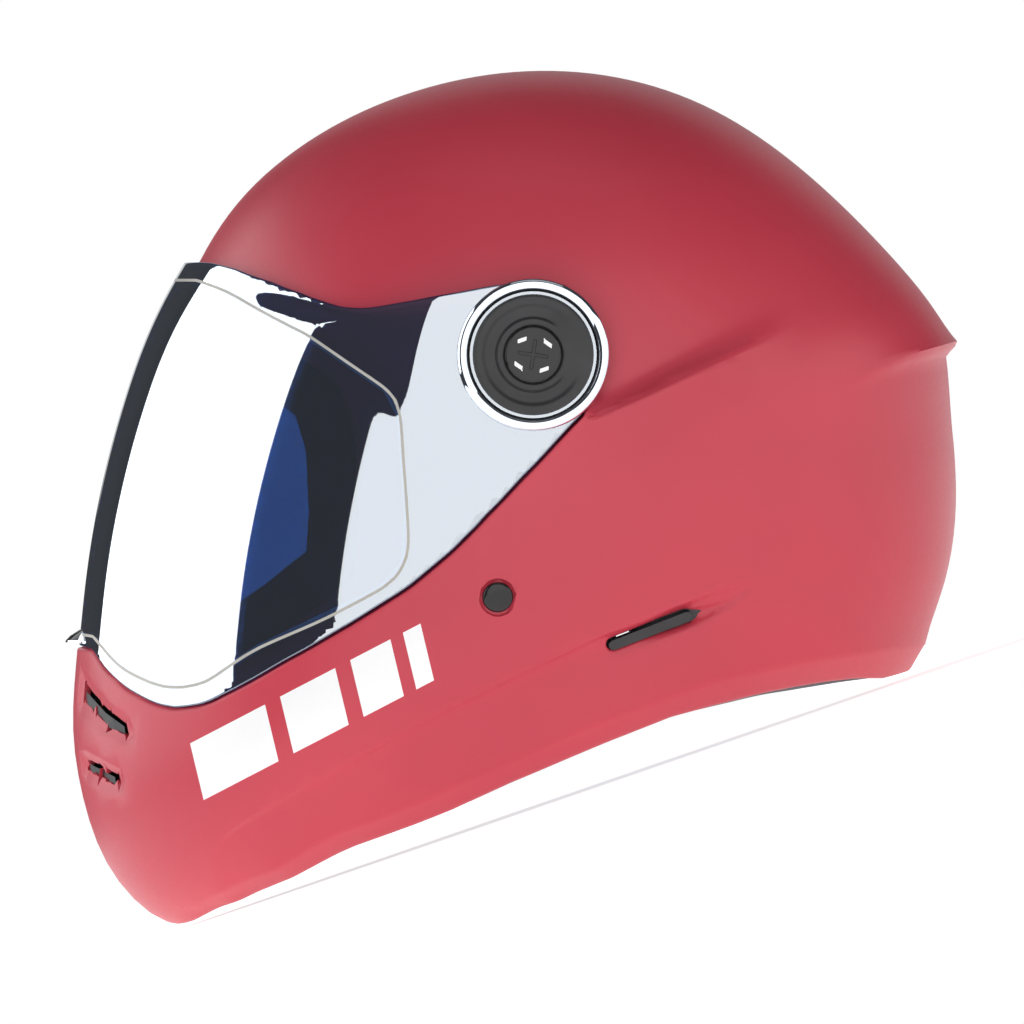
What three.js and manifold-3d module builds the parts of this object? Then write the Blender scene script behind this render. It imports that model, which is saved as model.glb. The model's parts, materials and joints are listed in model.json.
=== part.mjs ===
// Full-face helmet with a pivoting mirrored visor, as a three.js scene graph.
//
// Units are millimetres, +Z is up, and the helmet faces -X. The wearer's left
// side is -Y. Everything is laid out in a design frame whose origin is the
// visor pivot, then the whole group is turned about Y and lowered so that the
// helmet stands on its chin edge and its rear edge, with the origin at the
// bottom centre of its bounding box.

import * as THREE from 'three';
import Module from 'manifold-3d';
import { mergeVertices } from 'three/addons/utils/BufferGeometryUtils.js';

const wasm = await Module();
wasm.setup();

// ------------------------------------------------------------------
// Driving dimensions
// ------------------------------------------------------------------
const SHELL_HALF_WIDTH = 120;        // half width of the crown surface at the pivot
const SHELL_SIDE_POWER = 2.2;        // squareness of the shell from side to side
const SHELL_WALL = 4.0;
const SHELL_CENTRE = [2.49, -26.34]; // x, z that the side outline's radii start from
const REST_TILT_DEG = 18.97;         // turn about Y from the design frame to the resting pose

const VISOR_HALF_WIDTH = 123.8;
const VISOR_DEPTH = 140;             // from the front of the visor back to its flat ears
const VISOR_POWER = 2.3;
const VISOR_THICKNESS = 2.4;
const SEAL_TOP = 2.6, SEAL_FLOOR = 3.2;       // depths below the visor's outer face
const INSERT_TOP = 3.4, INSERT_FLOOR = 4.2;
const GASKET_TOP = 4.5, GASKET_FLOOR = 5.9;
const RECESS = 6.2;                           // shell floor under the visor
const CHIN_LIP = 0.5;                         // the jaw stands this much proud of the visor

const HUB_R = 13, HUB_HOLE_R = 13.4;
const RIM_IN_R = 22.3, RIM_OUT_R = 27, RIM_TOP = 128.4;
const CAP_R = 21.5, CAP_BASE = 124.2, CAP_TOP = 129.2;
const SCREW_HEAD_R = 10, SCREW_SHANK_R = 4;
const BASE_R = 24, BASE_BOTTOM = 117.3, BASE_TOP = 120.0;
const PAD_Y = 117;                            // flat seat on the shell under the base plate

const HEAD_CENTRE = [6.5, -20], HEAD_SEMI = [103, 84, 92];   // hollow in the foam
const FACE_CENTRE = [-35, -110], FACE_SEMI = [104, 66, 95];  // hollow behind the chin bar
const NECK_CENTRE = [1.45, -159.1], NECK_SEMI = [102, 72];
const COMFORT_THICKNESS = 8;
const STRAP_LAYER = 16;              // depth below the shell's outer face where the cheek pads start

const RIVET = [-12.46, -85.8];       // x, z of the chin-strap rivets

// Radii of the closed side outline about SHELL_CENTRE, every 3 degrees from +X.
const OUTLINE_R = [147.07, 147.15, 147.68, 148.21, 148.27, 147.43, 145.71, 143.48, 141.13, 138.99, 137.11, 135.51,
  134.16, 133.05, 132.15, 131.43, 130.88, 130.45, 130.12, 129.86, 129.66, 129.47, 129.27, 129.07,
  128.86, 128.65, 128.45, 128.27, 128.1, 127.96, 127.86, 127.79, 127.78, 127.81, 127.9, 128.06,
  128.29, 128.6, 128.98, 129.44, 129.96, 130.52, 131.13, 131.77, 132.42, 133.08, 133.71, 134.24,
  134.64, 134.89, 135.04, 135.15, 135.25, 135.42, 135.69, 136.12, 136.76, 137.66, 138.87, 140.4,
  142.24, 144.41, 146.91, 149.74, 152.89, 156.42, 160.8, 166.98, 175.55, 184.39, 191.58, 197.61,
  203.23, 208.84, 213.93, 217.87, 220.31, 220.9, 218.88, 218.32, 219.41, 219.37, 218.48, 217.61,
  217.0, 216.53, 216.08, 215.5, 214.68, 213.47, 211.83, 209.79, 207.43, 204.83, 202.04, 199.14,
  196.2, 193.26, 190.33, 187.43, 184.56, 181.75, 179.0, 176.32, 173.73, 171.24, 168.85, 166.58,
  164.15, 161.01, 157.7, 155.57, 154.58, 153.96, 153.18, 152.23, 151.14, 149.97, 148.77, 147.73];
// Front profile of the visor and chin: x at heights from XF_Z0 in steps of XF_STEP.
const XF_Z0 = -200, XF_STEP = 8;
const XF = [-132.29, -143.32, -149.51, -153.63, -156.65, -159.08, -161.0, -162.36, -163.11, -163.26,
  -162.96, -162.37, -161.65, -160.9, -160.1, -159.2, -158.14, -156.9, -155.47, -153.85,
  -152.05, -150.07, -147.9, -145.54, -142.99, -140.19, -137.03, -133.42, -129.3, -124.72,
  -119.78, -114.53];
// Power of the shell's section in eight directions, from +X towards +Z.
const SECTION_POWER = [2.2, 2.2, 2.15, 2.25, 2.5, 2.95, 3.0, 2.6];

// Side-view lines, each a list of [x, z].
const VISOR_LOWER = [[-157.0, -104.31], [-148.45, -114.63], [-139.91, -120.68], [-131.36, -124.24], [-122.82, -124.6], [-114.28, -122.46],
  [-105.73, -118.19], [-88.64, -108.58], [-71.56, -98.97], [-54.47, -88.64], [-41.65, -80.1], [-33.11, -72.98],
  [-24.56, -65.15], [-16.02, -56.25], [-7.48, -47.35], [1.07, -38.45], [9.61, -29.19], [18.16, -20.29]];
const VISOR_UPPER = [[-122.46, 33.46], [-110.0, 32.04], [-97.19, 27.77], [-84.37, 23.14], [-71.56, 18.51], [-58.74, 17.09],
  [-44.5, 19.22], [-25.28, 22.43], [-12.46, 24.74]];
const SHOULDER = [[20.29, -22.78], [39.16, -14.6], [62.3, -3.56], [79.74, 4.63], [93.63, 11.04]];
const RIDGE = [[-122.11, -195.44], [-106.44, -188.68], [-91.14, -182.27], [-73.69, -171.59], [-56.25, -164.83], [-38.8, -157.71],
  [-23.14, -150.59], [-7.48, -143.82], [15.66, -133.14], [39.16, -124.24], [62.3, -116.06], [85.44, -110.72],
  [108.58, -106.8], [138.84, -102.53]];
const BOTTOM = [[-175.5, -205.06], [-147.0, -205.06], [-132.4, -202.4], [-126.7, -202.9], [-121.0, -202.3], [-106.0, -197.15],
  [-100.7, -194.6], [-86.5, -188.7], [-63.7, -177.3], [-29.5, -163.4], [-7.5, -153.1], [27.4, -138.8],
  [50.5, -129.9], [84.4, -122.1], [108.6, -118.2], [119.3, -116.8], [129.5, -116.25], [152.0, -108.52]];
const EYEPORT = [[-168.39, 25.99], [-136.35, 25.99], [-124.96, 24.56], [-113.92, 10.68], [-96.48, -8.54], [-81.88, -20.29],
  [-77.96, -33.46], [-76.9, -55.54], [-77.96, -70.84], [-94.34, -83.66], [-120.33, -101.46], [-136.35, -103.95],
  [-154.15, -96.48], [-168.39, -95.41]];
const SEAL = [[-119.26, 27.41], [-96.83, 16.73], [-78.68, 7.12], [-51.26, -11.75], [-46.28, -21.36], [-43.79, -55.54],
  [-45.03, -74.05], [-52.69, -82.95], [-96.83, -104.31], [-115.34, -116.06], [-131.72, -117.84], [-147.74, -110.18],
  [-156.64, -100.39]];

// ------------------------------------------------------------------
// Small maths
// ------------------------------------------------------------------
const clamp = (v, a, b) => Math.min(b, Math.max(a, v));
const smooth = (a, b, v) => { const t = clamp((v - a) / (b - a), 0, 1); return t * t * (3 - 2 * t); };
const cubic = (p0, p1, p2, p3, t) =>
  p1 + 0.5 * t * (p2 - p0 + t * (2 * p0 - 5 * p1 + 4 * p2 - p3 + t * (3 * (p1 - p2) + p3 - p0)));

function outlineRadius(angle) {
  const n = OUTLINE_R.length;
  let f = (angle / (2 * Math.PI)) * n;
  f = ((f % n) + n) % n;
  const i = Math.floor(f), t = f - i;
  const g = (k) => OUTLINE_R[((k % n) + n) % n];
  return cubic(g(i - 1), g(i), g(i + 1), g(i + 2), t);
}
function sectionPower(angle) {
  const n = SECTION_POWER.length;
  let f = (angle / (2 * Math.PI)) * n;
  f = ((f % n) + n) % n;
  const i = Math.floor(f), t = smooth(0, 1, f - i);
  return SECTION_POWER[i] * (1 - t) + SECTION_POWER[(i + 1) % n] * t;
}
function frontX(z) {
  const n = XF.length;
  const f = clamp((z - XF_Z0) / XF_STEP, 0, n - 1.0001);
  const i = Math.floor(f), t = f - i;
  const g = (k) => (k < 0 ? 2 * XF[0] - XF[1] : k > n - 1 ? 2 * XF[n - 1] - XF[n - 2] : XF[k]);
  return cubic(g(i - 1), g(i), g(i + 1), g(i + 2), t);
}
// Signed distance to a line that runs from front to rear: positive below it.
function below(line, x, z) {
  let best = 1e9, sign = 1, bestCross = 0;
  for (let i = 0; i < line.length - 1; i++) {
    const [ax, az] = line[i], [bx, bz] = line[i + 1];
    const tx = bx - ax, tz = bz - az, l2 = tx * tx + tz * tz;
    const t = clamp(((x - ax) * tx + (z - az) * tz) / l2, 0, 1);
    const dx = x - ax - t * tx, dz = z - az - t * tz;
    const d = Math.hypot(dx, dz);
    const cross = (tx * (z - az) - tz * (x - ax)) / Math.sqrt(l2);
    if (d < best - 1e-6 || (d < best + 1e-6 && Math.abs(cross) > bestCross)) {
      best = Math.min(best, d); sign = cross < 0 ? 1 : -1; bestCross = Math.abs(cross);
    }
  }
  return sign * best;
}
const LIP_LINE = [[-182, -98], ...VISOR_LOWER, ...SHOULDER, [125, 22], [160, 30]];

// ------------------------------------------------------------------
// Shell and visor surfaces, each as a field that is zero on the surface
// ------------------------------------------------------------------
function crownField(x, y, z) {
  const dx = x - SHELL_CENTRE[0], dz = z - SHELL_CENTRE[1];
  const a = Math.atan2(dz, dx), s = Math.hypot(dx, dz) / outlineRadius(a);
  return Math.pow(s, sectionPower(a)) + Math.pow(Math.abs(y) / SHELL_HALF_WIDTH, SHELL_SIDE_POWER) - 1;
}
function jawField(x, y, z) {
  const u = Math.max(0, (VISOR_DEPTH - (x - frontX(z) + CHIN_LIP)) / VISOR_DEPTH);
  return Math.pow(u, VISOR_POWER) + Math.pow(Math.abs(y) / (VISOR_HALF_WIDTH + CHIN_LIP), 2) - 1;
}
function jawWeight(x, z) {
  const d = below(LIP_LINE, x, z);
  return smooth(-9, 0, d) * (1 - smooth(24, 95, x)) * (1 - smooth(12, 75, d));
}
function shellField(x, y, z) {
  const w = jawWeight(x, z);
  return (w > 0 ? w * jawField(x, y, z) : 0) + (w < 1 ? (1 - w) * crownField(x, y, z) : 0);
}
function gradient(f, p) {
  const e = 0.6;
  const g = [0, 1, 2].map((k) => {
    const a = p.slice(), b = p.slice(); a[k] += e; b[k] -= e;
    return f(...a) - f(...b);
  });
  const l = Math.hypot(...g) || 1;
  return g.map((v) => v / l);
}
// |y| of the shell's outer face at a side-view point.
function shellY(x, z) {
  let lo = 0, hi = 140;
  for (let i = 0; i < 40; i++) { const m = (lo + hi) / 2; if (shellField(x, m, z) < 0) lo = m; else hi = m; }
  return lo;
}

// ------------------------------------------------------------------
// Solids
// ------------------------------------------------------------------
function solid(points, tris) {
  let vol = 0;
  for (const [a, b, c] of tris) {
    const A = points[a], B = points[b], C = points[c];
    vol += A[0] * (B[1] * C[2] - B[2] * C[1]) - A[1] * (B[0] * C[2] - B[2] * C[0]) + A[2] * (B[0] * C[1] - B[1] * C[0]);
  }
  const tv = new Uint32Array(tris.length * 3);
  tris.forEach(([a, b, c], i) => { tv[3 * i] = a; tv[3 * i + 1] = vol < 0 ? c : b; tv[3 * i + 2] = vol < 0 ? b : c; });
  const vp = new Float32Array(points.length * 3);
  points.forEach((p, i) => vp.set(p, 3 * i));
  return new wasm.Manifold(new wasm.Mesh({ numProp: 3, vertProperties: vp, triVerts: tv }));
}
function fromGeometry(geometry) {
  const g = geometry.clone();
  for (const n of Object.keys(g.attributes)) if (n !== 'position') g.deleteAttribute(n);
  const m = mergeVertices(g, 1e-4);
  const p = m.attributes.position, points = [];
  for (let i = 0; i < p.count; i++) points.push([p.getX(i), p.getY(i), p.getZ(i)]);
  const idx = m.index.array, tris = [];
  for (let i = 0; i < idx.length; i += 3) {
    const [a, b, c] = [idx[i], idx[i + 1], idx[i + 2]];
    if (a !== b && b !== c && a !== c) tris.push([a, b, c]);
  }
  return solid(points, tris);
}
// A side-view outline carried across from y0 to y1.
function slab(outline, y0, y1, holes = []) {
  const shape = new THREE.Shape(outline.map(([x, z]) => new THREE.Vector2(x, z)));
  for (const h of holes) shape.holes.push(new THREE.Path(h.map(([x, z]) => new THREE.Vector2(x, z))));
  const g = new THREE.ExtrudeGeometry(shape, { depth: y1 - y0, bevelEnabled: false, steps: 1 });
  g.rotateX(Math.PI / 2);
  g.translate(0, y1, 0);
  return fromGeometry(g);
}
// Turned piece about the Y axis; side is -1 for the left and +1 for the right.
function turned(profile, side, segments = 20) {
  const pts = profile.map(([r, h]) => new THREE.Vector2(r, side * h));
  const closed = profile[0][0] > 0.001;
  if (closed) pts.push(pts[0].clone());
  return fromGeometry(new THREE.LatheGeometry(pts, segments));
}
const place = (m, x, y, z) => m.translate([x, y, z]);

function grownOutline(outline, d) {
  let area = 0;
  outline.forEach(([x, z], i) => { const [u, v] = outline[(i + 1) % outline.length]; area += x * v - u * z; });
  const s = area > 0 ? 1 : -1, n = outline.length;
  return outline.map((p, i) => {
    const a = outline[(i + n - 1) % n], b = outline[(i + 1) % n];
    const e1 = [p[0] - a[0], p[1] - a[1]], e2 = [b[0] - p[0], b[1] - p[1]];
    const l1 = Math.hypot(...e1), l2 = Math.hypot(...e2);
    const n1 = [s * e1[1] / l1, -s * e1[0] / l1], n2 = [s * e2[1] / l2, -s * e2[0] / l2];
    const m = [n1[0] + n2[0], n1[1] + n2[1]], l = Math.hypot(...m) || 1;
    const k = Math.min(1.6, 2 / l);
    return [p[0] + (m[0] / l) * d * k, p[1] + (m[1] / l) * d * k];
  });
}

// Closed body of the shell's outer form, moved inwards by a depth.
// Directions of the side outline, in degrees, closer together round the chin.
const ANGLES = [0, 12, 24, 36, 49, 62, 75, 88, 101, 114, 127, 140, 153, 166, 179, 192, 201, 208, 214, 220, 226, 232, 239, 250, 263, 277, 291, 305, 318, 330, 340, 350];
const THETA = ANGLES.length, PHI = 14;
const baseGrid = (() => {
  const rows = [];
  for (let j = 0; j <= PHI; j++) {
    const phi = (Math.PI * j) / PHI, row = [];
    const sn = Math.pow(Math.sin(phi), 0.92), cs = -Math.sign(Math.cos(phi)) * Math.pow(Math.abs(Math.cos(phi)), 0.92);
    const count = j === 0 || j === PHI ? 1 : THETA;
    for (let i = 0; i < count; i++) {
      const a = (ANGLES[i] * Math.PI) / 180, r = outlineRadius(a);
      const d = [sn * r * Math.cos(a), cs * SHELL_HALF_WIDTH, sn * r * Math.sin(a)];
      let lo = 0.5, hi = 1.4;
      for (let k = 0; k < 36; k++) {
        const t = (lo + hi) / 2;
        if (shellField(SHELL_CENTRE[0] + t * d[0], t * d[1], SHELL_CENTRE[1] + t * d[2]) < 0) lo = t; else hi = t;
      }
      const p = [SHELL_CENTRE[0] + lo * d[0], lo * d[1], SHELL_CENTRE[1] + lo * d[2]];
      row.push({ p, n: gradient(shellField, p) });
    }
    rows.push(row);
  }
  return rows;
})();
function shellBody(depth) {
  const points = [], tris = [], start = [];
  for (const row of baseGrid) {
    start.push(points.length);
    for (const { p, n } of row) points.push([p[0] - depth * n[0], p[1] - depth * n[1], p[2] - depth * n[2]]);
  }
  for (let j = 0; j < PHI; j++) {
    for (let i = 0; i < THETA; i++) {
      const i2 = (i + 1) % THETA;
      const a = start[j] + (j === 0 ? 0 : i), b = start[j] + (j === 0 ? 0 : i2);
      const c = start[j + 1] + (j + 1 === PHI ? 0 : i), d = start[j + 1] + (j + 1 === PHI ? 0 : i2);
      if (j > 0) tris.push([a, b, d === c ? c : d]);
      if (j + 1 < PHI) tris.push([a, d, c]);
    }
  }
  return solid(points, tris);
}

// Loft through closed sections with the same number of points.
function loft(sections, ring = false) {
  const n = sections[0].length, K = sections.length, points = sections.flat(), tris = [];
  for (let k = 0; k < (ring ? K : K - 1); k++) {
    const k2 = (k + 1) % K;
    for (let i = 0; i < n; i++) {
      const j = (i + 1) % n;
      tris.push([k * n + i, k * n + j, k2 * n + j], [k * n + i, k2 * n + j, k2 * n + i]);
    }
  }
  if (!ring) {
    for (const [k, flip] of [[0, true], [K - 1, false]]) {
      const c = points.length, mid = [0, 0, 0];
      sections[k].forEach((p) => p.forEach((v, q) => { mid[q] += v / n; }));
      points.push(mid);
      for (let i = 0; i < n; i++) {
        const j = (i + 1) % n;
        tris.push(flip ? [c, k * n + j, k * n + i] : [c, k * n + i, k * n + j]);
      }
    }
  }
  return solid(points, tris);
}

// Closed body behind the visor's outer face, moved inwards by a depth.
const VISOR_STEPS = [0, 0.02, 0.075, 0.16, 0.28, 0.43, 0.6, 0.76, 0.89, 1.0];
function visorPoint(z, f, side, depth) {
  const u = 1 - f;
  const x = frontX(z) + VISOR_DEPTH * f;
  let y = VISOR_HALF_WIDTH * Math.sqrt(Math.max(0, 1 - Math.pow(u, VISOR_POWER)));
  const slope = (frontX(z + 1) - frontX(z - 1)) / 2;
  const gx = (-VISOR_POWER * Math.pow(u, VISOR_POWER - 1)) / VISOR_DEPTH;
  let nrm = [gx, (2 * y) / VISOR_HALF_WIDTH ** 2, -gx * slope];
  const r = Math.hypot(x, z), flat = 1 - smooth(25, 42, r);
  y += (VISOR_HALF_WIDTH - y) * flat;
  const l = Math.hypot(...nrm);
  nrm = nrm.map((v, k) => (v / l) * (1 - flat) + (k === 1 ? flat : 0));
  return [x - depth * nrm[0], side * (y - depth * nrm[1]), z - depth * nrm[2]];
}
function visorBody(depth) {
  const sections = [];
  for (let z = -205; z <= 49.1; z += 254 / 11) {
    const loop = [];
    for (let i = VISOR_STEPS.length - 1; i >= 0; i--) loop.push(visorPoint(z, VISOR_STEPS[i], -1, depth));
    for (let i = 1; i < VISOR_STEPS.length; i++) loop.push(visorPoint(z, VISOR_STEPS[i], 1, depth));
    for (const x of [75]) loop.push([x, VISOR_HALF_WIDTH - depth, z]);
    for (const x of [75]) loop.push([x, -(VISOR_HALF_WIDTH - depth), z]);
    sections.push(loop);
  }
  return loft(sections);
}
function ellipsoid(centre, semi, grow, power = 2.2, nt = 22, np = 11) {
  const points = [], tris = [];
  const pw = (v) => Math.sign(v) * Math.pow(Math.abs(v), 2 / power);
  for (let j = 0; j <= np; j++) {
    const phi = (Math.PI * j) / np;
    for (let i = 0; i < (j === 0 || j === np ? 1 : nt); i++) {
      const a = (2 * Math.PI * i) / nt;
      points.push([centre[0] + (semi[0] + grow) * pw(Math.sin(phi)) * pw(Math.cos(a)),
        (semi[1] + grow) * pw(Math.cos(phi)), centre[1] + (semi[2] + grow) * pw(Math.sin(phi)) * pw(Math.sin(a))]);
    }
  }
  const at = (j, i) => (j === 0 ? 0 : j === np ? points.length - 1 : 1 + (j - 1) * nt + (i % nt));
  for (let j = 0; j < np; j++) for (let i = 0; i < nt; i++) {
    if (j > 0) tris.push([at(j, i), at(j, i + 1), at(j + 1, i + 1)]);
    if (j < np - 1) tris.push([at(j, i), at(j + 1, i + 1), at(j + 1, i)]);
  }
  return solid(points, tris);
}

// The wall turns in below the ridge line: everything outside this cup goes.
function chamferCup(depth) {
  const line = [];
  for (let i = 0; i < RIDGE.length - 1; i++) {
    const [ax, az] = RIDGE[i];
    line.push([ax, az]);
  }
  line.push(RIDGE[RIDGE.length - 1]);
  const half = line.map(([x, z]) => {
    const y = shellY(x, z), n = gradient(shellField, [x, y, z]);
    return { x, y, z, n };
  });
  const ringAt = (drop, inset, grow) => {
    const pts = [];
    const put = ({ x, y, z, n }, s, front) => {
      const l = Math.hypot(n[0], n[1]) || 1, k = grow - inset * (front ? 0.35 : 1);
      pts.push([x - depth * n[0] + (k * n[0]) / l, s * (y - depth * n[1] + (k * n[1]) / l), z - drop]);
    };
    half.forEach((h, i) => put(h, -1, i < 2));
    for (let i = half.length - 1; i >= 0; i--) put(half[i], 1, i < 2);
    // round the chin, in front of the ridge's first point
    const f = half[0], fx = f.x - grow + depth, fy = f.y * 0.62 + grow * 0.5;
    pts.push([fx - 30, fy, f.z - drop], [fx - 44, 0, f.z - drop], [fx - 30, -fy, f.z - drop]);
    return pts;
  };
  return loft([ringAt(-330, 0, 110), ringAt(-22, 0, 55), ringAt(0, 0, 0), ringAt(30, 20, 0)]);
}

// ------------------------------------------------------------------
// Outlines
// ------------------------------------------------------------------
const rimArc = [];
for (let a = 106; a >= -37; a -= 14.3) rimArc.push([RIM_OUT_R * Math.cos((a * Math.PI) / 180), RIM_OUT_R * Math.sin((a * Math.PI) / 180)]);
const VISOR_OUTLINE = [[-185, 33.8], ...VISOR_UPPER, ...rimArc, ...VISOR_LOWER.slice().reverse(), [-163, -102.6], [-185, -101.5]];
const SEAL_OUTLINE = [[-185, 29], ...SEAL, [-185, -96]];
const across = (outline, reach = 150) => slab(outline, -reach, reach);
const clearOfVisor = (grow, depth) => across(grownOutline(VISOR_OUTLINE, grow)).subtract(visorBody(depth));
const underBottom = [...BOTTOM, [170, -260], [-190, -260]];

// ------------------------------------------------------------------
// Nodes
// ------------------------------------------------------------------
const design = new THREE.Group();
const palette = {
  shell: { color: 0xb8505c, roughness: 0.38, metalness: 0.0 },
  visor: { color: 0xb9cbe6, roughness: 0.08, metalness: 0.9 },
  insert: { color: 0x9fb4d0, roughness: 0.1, metalness: 0.0 },
  seal: { color: 0xd8d4cc, roughness: 0.6, metalness: 0.0 },
  black: { color: 0x202124, roughness: 0.5, metalness: 0.0 },
  gloss: { color: 0x101113, roughness: 0.12, metalness: 0.0 },
  rubber: { color: 0x17181a, roughness: 0.8, metalness: 0.0 },
  foam: { color: 0x2a2b2e, roughness: 0.9, metalness: 0.0 },
  fabric: { color: 0x1d1e22, roughness: 0.95, metalness: 0.0 },
  cheek: { color: 0x24262b, roughness: 0.95, metalness: 0.0 },
  web: { color: 0x15161a, roughness: 0.85, metalness: 0.0 },
  steel: { color: 0xb4b7bb, roughness: 0.3, metalness: 1.0 },
  zinc: { color: 0x8f9296, roughness: 0.45, metalness: 1.0 },
};
// Keeps the largest closed body of a cut solid.
function largest(mesh) {
  const n = mesh.vertProperties.length / mesh.numProp, parent = Uint32Array.from({ length: n }, (_, i) => i);
  const find = (i) => { while (parent[i] !== i) { parent[i] = parent[parent[i]]; i = parent[i]; } return i; };
  const join = (a, b) => { parent[find(a)] = find(b); };
  if (mesh.mergeFromVert) for (let i = 0; i < mesh.mergeFromVert.length; i++) join(mesh.mergeFromVert[i], mesh.mergeToVert[i]);
  const t = mesh.triVerts;
  for (let i = 0; i < t.length; i += 3) { join(t[i], t[i + 1]); join(t[i], t[i + 2]); }
  const count = new Map();
  for (let i = 0; i < t.length; i += 3) { const r = find(t[i]); count.set(r, (count.get(r) || 0) + 1); }
  const keep = [...count.entries()].sort((a, b) => b[1] - a[1])[0][0];
  const out = [];
  for (let i = 0; i < t.length; i += 3) if (find(t[i]) === keep) out.push(t[i], t[i + 1], t[i + 2]);
  return { index: out, bodies: count.size };
}
function add(name, manifold, finish, parent = design) {
  const mesh = manifold.getMesh();
  const { index } = largest(mesh);
  const used = new Map(), pos = [], idx = [];
  for (const v of index) {
    if (!used.has(v)) { used.set(v, pos.length / 3); for (let k = 0; k < 3; k++) pos.push(mesh.vertProperties[v * mesh.numProp + k]); }
    idx.push(used.get(v));
  }
  const g = new THREE.BufferGeometry();
  g.setAttribute('position', new THREE.Float32BufferAttribute(pos, 3));
  g.setIndex(idx);
  g.computeVertexNormals();
  const m = new THREE.Mesh(g, new THREE.MeshStandardMaterial({ ...palette[finish], flatShading: true }));
  m.name = name;
  parent.add(m);
  return m;
}
const SIDES = [['left', -1], ['right', 1]];

// --- strap frames: one at each rivet, leaning with the inside of the wall ---
const tilt = (REST_TILT_DEG * Math.PI) / 180;
const DOWN = [Math.sin(tilt), -Math.cos(tilt)];
function strapFrame(side) {
  const y1 = shellY(...RIVET);
  const p1 = new THREE.Vector3(RIVET[0], side * y1, RIVET[1]);
  const q = [RIVET[0] + 46 * DOWN[0], RIVET[1] + 46 * DOWN[1]];
  const p2 = new THREE.Vector3(q[0], side * shellY(...q), q[1]);
  const up = p1.clone().sub(p2).normalize();
  const n = new THREE.Vector3(0, side, 0);
  n.addScaledVector(up, -n.dot(up)).normalize();
  const w = n.clone().cross(up);
  return new THREE.Matrix4().makeBasis(w, n, up).setPosition(p1);
}
const frames = { left: strapFrame(-1), right: strapFrame(1) };
const inStrapFrame = (m, which) => m.transform(frames[which].elements.slice());

// --- outer shell ---
const shellOuter = shellBody(0).intersect(chamferCup(0)).subtract(clearOfVisor(1.5, RECESS));
const shellInner = shellBody(SHELL_WALL).intersect(chamferCup(SHELL_WALL)).subtract(clearOfVisor(1.5 + SHELL_WALL, RECESS + SHELL_WALL));
const UPPER_VENT = [[-163, -113.5], [-157.6, -120], [-151.5, -126.5], [-144.6, -131.4], [-144.2, -135.2], [-152.2, -131.6], [-158.6, -125.4], [-164.5, -118]];
const LOWER_VENT = [[-159.4, -143.6], [-152.4, -147.2], [-148, -149.4], [-147.6, -153], [-153.5, -151.4], [-160, -147.2]];
const capsule = (r) => {
  const a = [28.4, -102.7], b = [54.7, -92.5], t = Math.atan2(b[1] - a[1], b[0] - a[0]), out = [];
  for (let k = 0; k <= 4; k++) { const s = t + Math.PI / 2 + (Math.PI * k) / 4; out.push([a[0] + r * Math.cos(s), a[1] + r * Math.sin(s)]); }
  for (let k = 0; k <= 4; k++) { const s = t - Math.PI / 2 + (Math.PI * k) / 4; out.push([b[0] + r * Math.cos(s), b[1] + r * Math.sin(s)]); }
  return out;
};
let shell = shellOuter.subtract(shellInner)
  .subtract(across(EYEPORT))
  .subtract(across(underBottom, 160));
for (const [which, side] of SIDES) {
  const [y0, y1] = side < 0 ? [-150, -24] : [24, 150];
  shell = shell.subtract(slab(UPPER_VENT, y0, y1)).subtract(slab(LOWER_VENT, y0, y1)).subtract(slab(capsule(2.07), y0, y1));
  shell = shell
    .subtract(turned([[0, PAD_Y], [BASE_R + 1, PAD_Y], [BASE_R + 1, 135], [0, 135]], side))
    .subtract(turned([[0, 105], [SCREW_SHANK_R + 0.4, 105], [SCREW_SHANK_R + 0.4, 125], [0, 125]], side, 20));
  for (const s of [-1, 1]) {
    shell = shell.subtract(place(turned([[0, 105], [1.9, 105], [1.9, 120], [0, 120]], side, 8), 0, 0, s * 17.5));
  }
  shell = shell.subtract(inStrapFrame(turned([[0, 4], [6.4, 4], [6.4, -1.3], [3.0, -1.3], [3.0, -9], [0, -9]], 1, 12), which));
}
add('outer_shell', shell, 'shell');

// --- rubber edging round the eye port: an outer flap and a leg through the opening ---
const flap = visorBody(GASKET_TOP).subtract(visorBody(GASKET_FLOOR))
  .intersect(across(grownOutline(EYEPORT, 15)))
  .intersect(across(grownOutline(VISOR_OUTLINE, -3.2)));
const leg = visorBody(GASKET_TOP).subtract(visorBody(RECESS + SHELL_WALL)).intersect(across(grownOutline(EYEPORT, -0.35)));
add('eyeport_gasket', flap.add(leg).subtract(across(grownOutline(EYEPORT, -2.4))), 'rubber');

// --- mirrored visor with moulded rim bosses and a lift tab ---
let visor = visorBody(0).subtract(visorBody(VISOR_THICKNESS)).intersect(across(VISOR_OUTLINE));
for (const [, side] of SIDES) {
  visor = visor.add(turned([[RIM_IN_R, 122.5], [RIM_OUT_R, 122.5], [RIM_OUT_R, 126.4], [RIM_OUT_R - 2.2, RIM_TOP], [RIM_IN_R, RIM_TOP - 1.2]], side, 24));
}
visor = visor.add(slab([[-159.6, -96.4], [-161.4, -97.3], [-166.2, -100.4], [-166.5, -102.1], [-165.6, -102.3], [-159.6, -102.4]], -14, 14));
for (const [, side] of SIDES) {
  visor = visor.subtract(turned([[0, 110], [HUB_HOLE_R, 110], [HUB_HOLE_R, 140], [0, 140]], side, 20));
}
add('visor_lens', visor, 'visor');
add('antifog_lens', visorBody(INSERT_TOP).subtract(visorBody(INSERT_FLOOR)).intersect(across(SEAL_OUTLINE)), 'insert');
add('antifog_seal', visorBody(SEAL_TOP).subtract(visorBody(SEAL_FLOOR))
  .intersect(across(SEAL_OUTLINE)).subtract(across(grownOutline(SEAL_OUTLINE, -2))), 'seal');

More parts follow.
